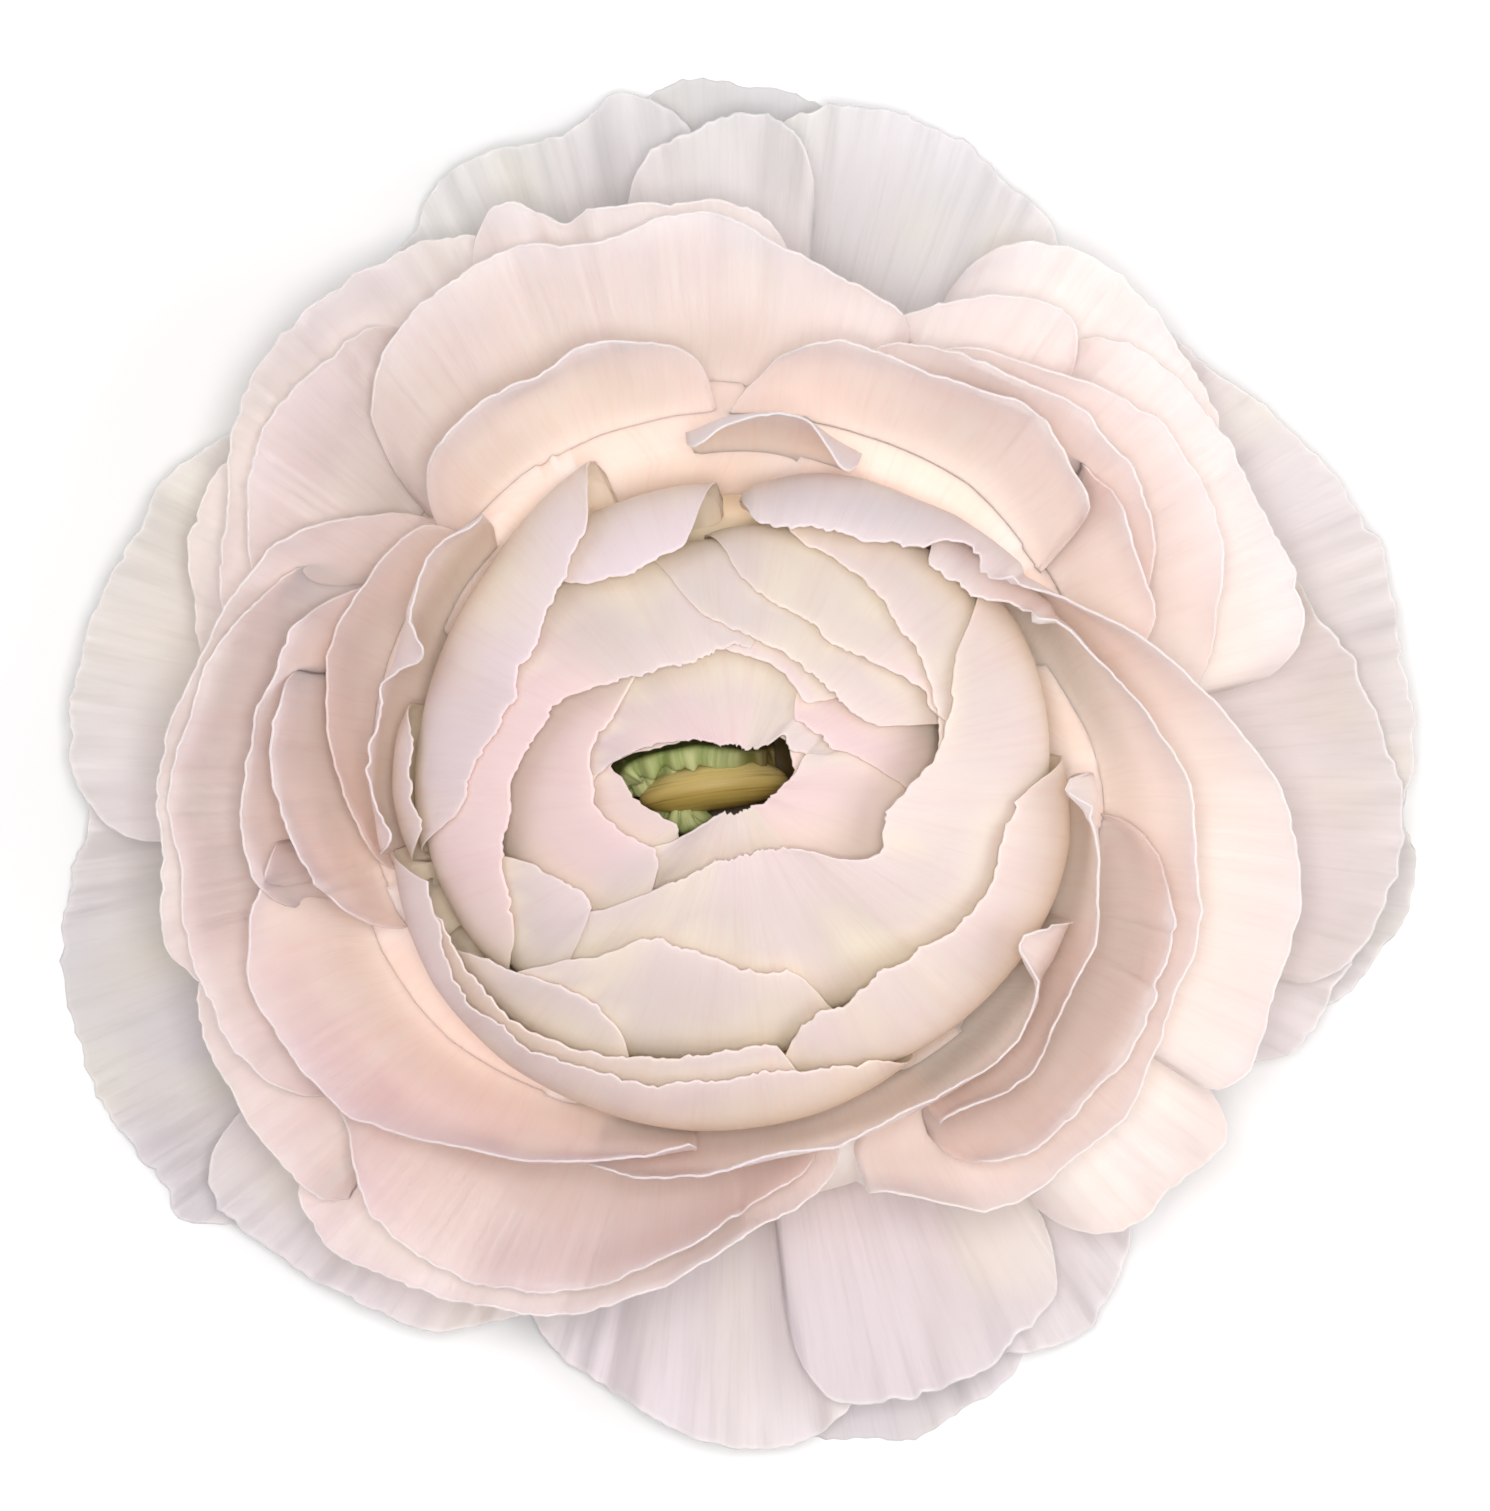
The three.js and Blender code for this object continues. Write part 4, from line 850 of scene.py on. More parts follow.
@dataclass
class Petals:
    """Builds petals of one kind on the shells.

    Args:
        shells: The nested cups.
        kind: How they are built.
        spacing: Distance between columns, in millimetres.
        rows: Rows from root to margin.
    """

    shells: ShellFamily
    kind: PetalKind
    spacing: float
    rows: int

    def margin(self, points: list, azimuth: np.ndarray) -> tuple[np.ndarray, np.ndarray]:
        """Rim radius and shell along a petal's margin.

        Args:
            points: Its margin points.
            azimuth: Azimuths, in degrees.

        Returns:
            Rim radii and shells.
        """
        turn = np.array([p[0] for p in points], dtype=float)
        rim = np.array([p[1] for p in points], dtype=float)
        shell = np.array([p[-1] for p in points], dtype=float)
        last = len(points) - 1
        i = np.clip(np.searchsorted(turn, azimuth) - 1, 0, last - 1)
        t = (azimuth - turn[i]) / (turn[i + 1] - turn[i])
        before, after = np.maximum(i - 1, 0), np.minimum(i + 2, last)
        shells = shell[i] + (shell[i + 1] - shell[i]) * t
        return catmull(rim[before], rim[i], rim[i + 1], rim[after], t), shells

    def blade(self, points: list, seed: int) -> tuple[np.ndarray, np.ndarray, np.ndarray, np.ndarray, int]:
        """One petal.

        Args:
            points: Its margin points.
            seed: Its number in the table.

        Returns:
            Vertices, quads, colours, vein places and columns of vertices.
        """
        kind = self.kind
        first, last = float(points[0][0]), float(points[-1][0])
        widest = max(p[1] for p in points)
        arc = (last - first) * DEG * widest
        columns = int(np.clip(round(arc / self.spacing), 24, 150))
        u = np.linspace(0.0, 1.0, columns + 1)
        azimuth = first + (last - first) * u
        rim, shell = self.margin(points, azimuth)
        side = np.abs(2 * u - 1)
        ribs = self.shells.ribs_at(shell)
        top = self.shells.reach(ribs, rim, kind.curled)
        ends = self.shells.along(ribs, top)
        speed = np.linalg.norm(ends - self.shells.along(ribs, top - 0.02), axis=1) / 0.02
        place = u * arc
        cut = kind.frill * waves(place, seed * 3.1 + 1, (8.7, 4.1, 2.2, 1.15, 0.62), 0.74)
        cut -= kind.frill * 0.7 * np.maximum(waves(place, seed * 5.3 + 2, (3.4, 1.6), 0.8) - 0.35, 0)
        cut -= kind.frill * 0.45 * np.abs(waves(place, seed * 1.9 + 7, (1.9, 1.05), 0.8))
        inward = np.clip((1 - side) * arc / 2 / kind.corner, 0, 1)
        rounding = 1 - np.sqrt(1 - (1 - inward) ** 2.2)
        top = top + cut / np.maximum(speed, 5.0) - kind.drop * rounding

        w = 1.0 - (1.0 - np.arange(self.rows + 1) / self.rows) ** 1.45
        U, W = np.meshgrid(u, w, indexing="ij")
        TOP = top[:, None]
        V = kind.start + (TOP - kind.start) * W
        CW = (V - kind.root) / (TOP - kind.root)
        AZ = azimuth[:, None] + 0 * V
        SH = shell[:, None] + 0 * V
        turns = 2 * math.pi * AZ / kind.ripple_every + 0.35 * SH
        slow = np.sin(turns) + 0.5 * np.sin(1.7 * turns + 1 + 0.5 * draw(seed, 1))
        quick = waves(place, seed * 7.7 + 5, (11.3, 6.4, 3.3), 0.7)[:, None]
        minute = waves(place, seed * 2.9 + 8, (2.6, 1.4), 0.8)[:, None]
        share = np.clip((SH - kind.shells[0]) / (kind.shells[1] - kind.shells[0]), 0, 1)
        folded = kind.fold[0] + (kind.fold[1] - kind.fold[0]) * share
        level = folded + (SH - folded) * smooth(*kind.opening, CW)
        level = level + kind.ripple * slow * smooth(0.45, 1, CW)
        level = level + kind.ruffle * quick * smooth(0.6, 1.0, CW)
        level = level + 0.35 * kind.ruffle * minute * smooth(0.82, 1.0, CW)
        curl = kind.lip * (0.55 + 0.45 * waves(place, seed * 9.1 + 4, (13.0, 7.1), 0.7))[:, None]
        level = level + curl * smooth(0.86, 1.02, CW) ** 1.5

        flat = self.shells.along(self.shells.ribs_at(level.ravel()), V.ravel())
        R = flat[:, 0].reshape(V.shape)
        Z = flat[:, 1].reshape(V.shape)
        if kind.curled:
            R = R - np.maximum(ribs[:, -1, 0] - rim, 0)[:, None] * smooth(0.5, 1, V)
        middle = (first + last) / 2
        spread = kind.claw + (1 - kind.claw) * smooth(0, 0.45, CW)
        angle = (middle + (AZ - middle) * spread) * DEG
        grid = np.stack([R * np.cos(angle), R * np.sin(angle), Z], axis=2)
        thick = kind.thick[0] + (kind.thick[1] - kind.thick[0]) * smooth(0.3, 1.0, W)
        thick = thick * (1 - 0.35 * smooth(0.93, 1.0, np.abs(2 * U - 1)))
        places, faces = slab(grid, thick)

        steps = np.linalg.norm(np.diff(grid, axis=1), axis=2)
        run = np.concatenate([np.zeros((columns + 1, 1)), np.cumsum(steps, axis=1)], axis=1)
        mottle = 0.6 * waves(place, seed * 4.3 + 6, (9.0, 4.3), 0.7)[:, None]
        mottle = mottle + 0.4 * np.sin(run * 0.5 + 2.0 * quick)
        shade = 0.985 + 0.03 * draw(seed, 12)
        patch = 0.8 * waves(place, seed * 6.7 + 9, (23.0, 12.0), 0.6)[:, None]
        patch = patch * np.cos(0.4 * run + 6.0 * draw(seed, 21))
        patch = patch + 0.5 * waves(place, seed * 8.3 + 2, (31.0, 17.0), 0.6)[:, None]
        deg, up = (angle / DEG).ravel(), np.clip(CW, 0, 1).ravel()
        tone = kind.colours.paint(deg, up, mottle.ravel(), patch.ravel(), shade)
        for blush in kind.blushes:
            if blush.petal == seed:
                tone = blush.over(tone, AZ.ravel(), up)
        vein = np.stack([U * arc, run, 0 * V + 17.3 * seed], axis=2).reshape(-1, 3)
        return places, faces, np.tile(tone, (2, 1)), np.tile(vein, (2, 1)), columns + 1

    def shape(self, which: range, shape: Shape) -> None:
        """Adds petals to a shape.

        Args:
            which: Numbers of the petals in the table.
            shape: Where they go.
        """
        for n in which:
            places, faces, tones, veins, columns = self.blade(self.kind.table[n], n)
            shape.add(places, faces, tones, veins, columns)


def plain_body(shape: Shape, places: np.ndarray, faces: np.ndarray,
               tone: tuple[float, float, float]) -> None:
    """Adds a body of one colour.

    Args:
        shape: Where it goes.
        places: Its vertices.
        faces: Its quads.
        tone: Its screen colour.
    """
    tones = np.tile(linear(tone), (len(places), 1))
    veins = np.stack([np.hypot(places[:, 0], places[:, 1]) * 0.2, places[:, 2], 0 * places[:, 0]], axis=1)
    shape.add(places, faces, tones, veins)


@dataclass(frozen=True)
class PetalFeet:
    """The joined feet of a ring of petals, stepped where they overlap.

    Args:
        count: Petals round the axis.
        step: Height of a step, in millimetres.
        lean: Share of a petal by which the edges lean over for each millimetre of height.
        sides: Sides round.
        tone: Screen colour.
        edge: Screen colour near an edge.
    """

    count: int
    step: float
    lean: float
    sides: int
    tone: tuple[float, float, float]
    edge: tuple[float, float, float]

    def add(self, shape: Shape, profile: list[tuple[float, float]]) -> None:
        """Adds the feet.

        Args:
            shape: Where they go.
            profile: (radius, height) from the lower point on the axis to the upper one.
        """
        places, faces = turned(profile, self.sides)
        height = places[:, 2]
        around = np.arctan2(places[:, 1], places[:, 0]) / (2.0 * math.pi) * self.count
        around = around + self.lean * height + 0.07 * np.sin(1.9 * height + 1.3 * np.floor(around))
        number = np.mod(np.floor(around), self.count)
        part = around - np.floor(around)
        radius = np.maximum(np.hypot(places[:, 0], places[:, 1]), 1.0)
        places[:, :2] *= (1.0 - self.step * part / radius)[:, None]
        across = 2.0 * math.pi * radius.max() / self.count
        near = smooth(0.72, 1.0, 1.0 - part)[:, None]
        tones = linear(self.tone) + (linear(self.edge) - linear(self.tone)) * near
        veins = np.stack([part * across + 13.7 * number, 0.4 * radius + height, number], axis=1)
        shape.add(places, faces, tones, veins)


@dataclass
class PaintedRecessGlow:
    """Paints a light, warm glow into petals where their neighbours close off the sky, standing in for light
    that passes through the petals.

    Args:
        stride: Columns and rows between the places that look up.
        looks: Directions in which each place looks.
        start: Where a look starts, in metres from the skin.
        far: Where it ends.
        noted: Pieces with their blades.
    """

    stride: int = 3
    looks: int = 16
    start: float = 0.4 * MM
    far: float = 14 * MM
    noted: list[tuple[bpy.types.Object, list, float, Tone]] = field(default_factory=list)

    def note(self, obj: bpy.types.Object, shape: Shape, strength: float, tone: Tone) -> None:
        """Notes a piece.

        Args:
            obj: The piece.
            shape: What it was made from.
            strength: How much of its colour the painted recess glow may cover, 0..1.
            tone: The tone of that painted glow.
        """
        self.noted.append((obj, shape.grids, strength, tone))

    def picks(self, count: int) -> np.ndarray:
        """Every so many of a number of lines, with the last."""
        return np.unique(np.append(np.arange(0, count, self.stride), count - 1))

    def warm(self) -> None:
        """Works out how much sky each place sees, and paints the glow in where the sky is closed off."""
        corners, quads, blades = [], [], []
        count = 0
        for obj, grids, strength, tone in self.noted:
            co = np.zeros(len(obj.data.vertices) * 3, dtype=np.float32)
            obj.data.vertices.foreach_get("co", co)
            co = co.reshape(-1, 3)
            for first, columns, rows in grids:
                a, b = self.picks(columns), self.picks(rows)
                index = first + a[:, None] * rows + b[None, :]
                sides = [co[index + k * columns * rows] for k in (0, 1)]
                corners.append((sides[0] + sides[1]).reshape(-1, 3) / 2)
                n = count + np.arange(index.size).reshape(index.shape)
                ring = n[:-1, :-1], n[1:, :-1], n[1:, 1:], n[:-1, 1:]
                quads.append(np.stack([x.ravel() for x in ring], 1))
                blades.append((obj, first, columns, rows, strength, tone, sides, a, b))
                count += index.size
        points = np.concatenate(corners)
        tree = BVHTree.FromPolygons(points.tolist(), np.concatenate(quads).tolist())
        k = np.arange(self.looks)
        out = np.sqrt((k + 0.5) / self.looks)
        turn = k * math.pi * (3 - math.sqrt(5))
        ways = np.stack([out * np.cos(turn), out * np.sin(turn), np.sqrt(1 - out**2)], axis=1)
        clear = np.ones((len(points), self.looks))
        for n, way in enumerate(ways):
            look = Vector(way)
            starts = (points + way * self.start).tolist()
            clear[:, n] = [tree.ray_cast(x, look, self.far)[0] is None for x in starts]
        done = 0
        for obj, first, columns, rows, strength, tone, sides, a, b in blades:
            size = len(a) * len(b)
            seen = clear[done : done + size]
            done += size
            normal = (sides[0] - sides[1]).reshape(-1, 3)
            normal /= np.maximum(np.linalg.norm(normal, axis=1, keepdims=True), 1e-12)
            for side, facing in enumerate((normal, -normal)):
                weight = np.maximum(facing @ ways.T, 0)
                sky = ((seen * weight).sum(1) + 0.02) / (weight.sum(1) + 0.05)
                coarse = (1 - np.clip(sky, 0, 1)).reshape(len(a), len(b))
                lines = np.stack([np.interp(np.arange(rows), b, line) for line in coarse])
                full = np.stack([np.interp(np.arange(columns), a, line) for line in lines.T], axis=1)
                # Painted glow: the recess tone goes in where little sky is seen.
                self.tint(obj, first + side * columns * rows, full.ravel() * strength, tone)

    def tint(self, obj: bpy.types.Object, first: int, share: np.ndarray, tone: Tone) -> None:
        """Mixes a tone into a run of a piece's vertices.

        Args:
            obj: The piece.
            first: The first vertex.
            share: How much each takes.
            tone: The tone.
        """
        data = obj.data.attributes["tone"].data
        rgba = np.zeros(len(data) * 4, dtype=np.float32)
        data.foreach_get("color", rgba)
        rgba = rgba.reshape(-1, 4)
        run = rgba[first : first + len(share), :3]
        run += (tone.linear() - run) * share[:, None]
        data.foreach_set("color", rgba.ravel())


# ---- the bloom's assemblies ----
@dataclass
class Assembly:
    """What every sub-assembly of the bloom shares.

    Args:
        shells: The nested cups.
        axis: The bloom's axis in the row frame, in metres.
        painted_recess_glow: Notes the blades that get a painted glow where their neighbours close off the
            sky.
    """

    shells: ShellFamily
    axis: np.ndarray
    painted_recess_glow: PaintedRecessGlow

    def place(self, obj: bpy.types.Object, node: str, slot: str) -> bpy.types.Object:
        """Puts a piece on the root body and hides the node it replaces.

        Args:
            obj: The piece.
            node: The node it replaces.
            slot: Its colour slot; not used.

        Returns:
            The piece.
        """
        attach(obj, "root")
        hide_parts(node)
        LOG.info("%s: %d faces", obj.name, len(obj.data.polygons))
        return obj

    def rib(self, shell: float, v: float) -> tuple[float, float]:
        """A point of a shell.

        Args:
            shell: Shell number.
            v: Share of its rib.

        Returns:
            Radius and height, in millimetres.
        """
        point = self.shells.along(self.shells.ribs_at(np.array([shell])), np.array([v]))[0]
        return float(point[0]), float(point[1])


GUARD_COLOURS = ColourRing(
    (
        ColourStop(10, (235, 224, 210), (222, 211, 210), (223, 215, 214)),
        ColourStop(60, (227, 219, 209), (218, 214, 216), (221, 219, 222)),
        ColourStop(100, (214, 210, 198), (209, 208, 208), (212, 212, 212)),
        ColourStop(135, (224, 221, 203), (225, 226, 222), (229, 230, 229)),
        ColourStop(165, (227, 216, 201), (225, 217, 211), (228, 223, 222)),
        ColourStop(205, (218, 202, 197), (208, 200, 201), (215, 209, 213)),
        ColourStop(240, (216, 196, 195), (205, 196, 199), (211, 202, 208)),
        ColourStop(285, (222, 202, 199), (214, 203, 206), (217, 208, 213)),
        ColourStop(330, (234, 219, 214), (222, 214, 213), (224, 217, 217)),
    ),
    deep=0.42,
    edge=0.25,
    cool=Tone.MIST,
    warm=Tone.IVORY,
    patches=0.4,
)
# Partly the petals' own colours, partly painted shade: the stops darken the left side (azimuth 135 to 225),
# as light falling from the right would.
CUP_COLOURS = ColourRing(
    (
        ColourStop(0, (255, 250, 240), (251, 229, 222), (240, 222, 222)),
        ColourStop(45, (255, 249, 240), (252, 232, 226), (236, 216, 218)),
        ColourStop(90, (250, 237, 227), (226, 210, 209), (223, 214, 217)),
        ColourStop(135, (247, 233, 222), (209, 192, 191), (206, 192, 195)),
        ColourStop(180, (252, 238, 222), (232, 209, 204), (222, 201, 204)),
        ColourStop(225, (238, 209, 199), (207, 178, 179), (203, 178, 184)),
        ColourStop(270, (255, 234, 230), (232, 210, 210), (222, 203, 207)),
        ColourStop(315, (255, 250, 242), (245, 224, 217), (216, 193, 191)),
    ),
    deep=0.5,
    edge=0.22,
    cool=Tone.PETAL,
    warm=Tone.PEACH,
    patches=0.35,
)
# Partly the petals' own colours, partly painted shade: the stops are darker towards the left side (azimuth
# 150 to 200), as light falling from the right would leave it.
HEART_COLOURS = ColourRing(
    (
        ColourStop(0, (252, 239, 216), (237, 220, 208), (235, 216, 211)),
        ColourStop(50, (246, 234, 211), (227, 210, 197), (227, 209, 202)),
        ColourStop(100, (242, 229, 206), (227, 213, 200), (227, 210, 205)),
        ColourStop(150, (232, 217, 197), (218, 199, 194), (216, 197, 198)),
        ColourStop(200, (236, 217, 200), (221, 203, 196), (220, 202, 201)),
        ColourStop(250, (242, 224, 205), (224, 207, 198), (224, 205, 203)),
        ColourStop(300, (248, 232, 210), (227, 210, 200), (227, 207, 204)),
    ),
    deep=0.6,
    edge=0.12,
    cool=Tone.ORCHID,
    warm=Tone.BUTTER,
    patches=0.45,
)
SPIRAL_BLUSHES = (
    Blush(1, 408, 452, 0.7, 0.75, Tone.LAVENDER),
    Blush(1, 380, 425, 0.8, 0.5, Tone.ORCHID),
    Blush(0, 385, 415, 0.75, 0.5, Tone.ORCHID),
    Blush(5, 250, 300, 0.8, 0.4, Tone.LAVENDER),
)
HEART_BLUSHES = (
    Blush(6, 88, 140, 0.75, 0.7, Tone.LAVENDER),
    Blush(20, 112, 165, 0.75, 0.55, Tone.LAVENDER),
    Blush(20, 140, 200, 0.6, 0.5, Tone.ORCHID),
    Blush(7, 130, 225, 0.55, 0.75, Tone.ROSE),
    Blush(17, 130, 228, 0.55, 0.7, Tone.ROSE),
    Blush(16, 130, 230, 0.5, 0.6, Tone.ROSE),
    Blush(15, 60, 175, 0.75, 0.7, Tone.ROSE),
    Blush(14, 30, 110, 0.8, 0.35, Tone.ORCHID),
    Blush(18, 215, 300, 0.4, 0.3, Tone.ORCHID),
    Blush(18, 300, 384, 0.4, 0.75, Tone.ROSE),
    Blush(19, 330, 420, 0.3, 0.8, Tone.ROSE),
    Blush(12, 345, 428, 0.5, 0.75, Tone.ROSE),
    Blush(3, 250, 310, 0.75, 0.4, Tone.ORCHID),
    Blush(5, 360, 410, 0.85, 0.55, Tone.ROSE),
)

GUARD = PetalKind(
    table=GUARD_TABLE,
    root=0.16,
    start=0.12,
    claw=0.72,
    drop=0.16,
    corner=3.2,
    shells=(43.4, 47.6),
    fold=(44.4, 47.0),
    opening=(0.25, 0.55),
    ripple=0.3,
    ripple_every=26,
    curled=False,
    ruffle=0.36,
    frill=0.24,
    lip=0.0,
    thick=(0.42, 0.2),
    colours=GUARD_COLOURS,
)
CUP = PetalKind(
    table=CUP_TABLE,
    root=0.42,
    start=0.30,
    claw=0.88,
    drop=0.28,
    corner=4.5,
    shells=(21.8, 42.1),
    fold=(23.6, 37.0),
    opening=(0.3, 1.0),
    ripple=0.25,
    ripple_every=29,
    curled=False,
    ruffle=0.2,
    frill=0.28,
    lip=0.2,
    thick=(0.36, 0.16),
    colours=CUP_COLOURS,
)
SPIRAL = replace(
    CUP,
    table=SPIRAL_TABLE,
    drop=0.12,
    corner=3.0,
    shells=(18.0, 42.1),
    fold=(19.0, 37.0),
    curled=True,
    ruffle=0.16,
    blushes=SPIRAL_BLUSHES,
)
HEART = PetalKind(
    table=HEART_TABLE,
    root=0.38,
    start=0.30,
    claw=0.94,
    drop=0.24,
    corner=3.4,
    shells=(8.8, 23.3),
    fold=(8.0, 21.8),
    opening=(0.25, 0.55),
    ripple=0.08,
    ripple_every=37,
    curled=True,
    ruffle=0.12,
    frill=0.3,
    lip=0.05,
    thick=(0.36, 0.14),
    colours=HEART_COLOURS,
    blushes=HEART_BLUSHES,
)


@dataclass
class PetalAssembly(Assembly):
    """Petals of one colour.

    Args:
        node: The node they replace.
        slot: Their colour slot.
        spacing: Distance between the columns of a blade, in millimetres.
        rows: Rows of a blade.
        recess_glow_share: How much the painted recess glow may cover, 0..1.
        recess_glow_tone: The tone of that painted glow.
    """

    node: str = ""
    slot: str = ""
    spacing: float = 0.0
    rows: int = 32
    recess_glow_share: float = 0.8
    recess_glow_tone: Tone = Tone.PAINTED_RECESS_HONEY

    def bloom(self, kind: PetalKind, groups: dict[str, range], material: bpy.types.Material,
              core: Callable[[Shape], None] | None = None) -> None:
        """Makes the pieces of one kind of petal.

        Args:
            kind: The kind.
            groups: The petals of each piece, by its name.
            material: Their skin.
            core: Adds what joins their feet, to the first piece.
        """
        petals = Petals(self.shells, kind, self.spacing, self.rows)
        for name, which in groups.items():
            shape = Shape()
            petals.shape(which, shape)
            if core:
                core(shape)
                core = None
            piece = shape.build(name, self.axis, material)
            # Noted for the painted recess glow.
            self.painted_recess_glow.note(piece, shape, self.recess_glow_share, self.recess_glow_tone)
            self.place(piece, self.node, self.slot)


@dataclass
class GuardPetals(PetalAssembly):
    """The pale outer petals, spread flat."""

    node: str = "guard_petals"
    slot: str = "guard_petal"
    spacing: float = 0.45
    rows: int = 34
    recess_glow_share: float = 0.4
    recess_glow_tone: Tone = Tone.PAINTED_RECESS_SHELL

    def core(self, shape: Shape) -> None:
        """Adds the plate that joins their claws.

        Args:
            shape: The first piece.
        """
        under = [self.rib(46.8, v) for v in (0.0, 0.14, 0.22)]
        over = [self.rib(44.6, v) for v in (0.23, 0.14, 0.0)]
        plain_body(shape, *turned([(0, 6.9), *under, *over, (0, 7.5)], 48), (240, 230, 208))

    def build(self, finish: PetalFinish) -> None:
        """Makes the guard petals.

        Args:
            finish: Their skin.
        """
        groups = {"guard_petals_right": range(0, 8), "guard_petals_left": range(8, 17)}
        self.bloom(GUARD, groups, finish.material(), self.core)


@dataclass
class CupPetals(PetalAssembly):
    """The peach and pink cups round the heart."""

    node: str = "cup_petals"
    slot: str = "cup_petal"
    spacing: float = 0.42
    recess_glow_share: float = 0.85
    recess_glow_tone: Tone = Tone.GLOW

    def core(self, shape: Shape) -> None:
        """Adds the bowl that joins their feet.

        Args:
            shape: The first piece.
        """
        under = [self.rib(41.0, 0.42 * k / 14) for k in range(15)]
        rim = [self.rib(36.0, 0.5), self.rib(30.0, 0.52), self.rib(26.0, 0.54), self.rib(24.0, 0.52)]
        inside = [self.rib(23.6, v) for v in (0.42, 0.28, 0.0)]
        feet = PetalFeet(count=9, step=0.5, lean=0.06, sides=360, tone=(246, 230, 220), edge=(252, 240, 236))
        feet.add(shape, [(0, 8.3), *under, *rim, *inside, (0, 12.2)])

    def build(self, finish: PetalFinish) -> None:
        """Makes the cup petals.

        Args:
            finish: Their skin.
        """
        material = finish.material()
        cups = {
            "cup_petals_right": range(0, 7),
            "cup_petals_top": range(7, 13),
            "cup_petals_left": range(13, 18),
            "cup_petals_low": range(18, 23),
        }
        self.bloom(CUP, cups, material, self.core)
        curls = {"cup_petals_curl_a": range(0, 3), "cup_petals_curl_b": range(3, 7)}
        self.bloom(SPIRAL, curls, material)


@dataclass
class HeartPetals(PetalAssembly):
    """The cream petals that close over one another."""

    node: str = "heart_petals"
    slot: str = "heart_petal"
    spacing: float = 0.32

    def core(self, shape: Shape) -> None:
        """Adds the drum that joins their feet.

        Args:
            shape: The first piece.
        """
        side = [self.rib(21.6, v) for v in (0.0, 0.14, 0.27, 0.44)]
        profile = [(0, 12.6), *side, (17.0, 20.4), (9.2, 19.9), (0, 19.9)]
        plain_body(shape, *turned(profile, 48), (252, 236, 208))

    def build(self, finish: PetalFinish) -> None:
        """Makes the heart petals.

        Args:
            finish: Their skin.
        """
        groups = {
            "heart_petals_outer": range(0, 7),
            "heart_petals_middle": range(7, 14),
            "heart_petals_inner": range(14, 21),
        }
        self.bloom(HEART, groups, finish.material(), self.core)


@dataclass(frozen=True)
class Fold:
    """A small green petal, rolled over towards the bud.

    Args:
        crest: Points along its crest, (x, y, z) in millimetres.
        reach: How far it rolls over, in millimetres.
        depth: How deep its foot lies under the crest.
        pucker: Height of its puckers.
    """

    crest: tuple[tuple[float, float, float], ...]
    reach: float
    depth: float
    pucker: float


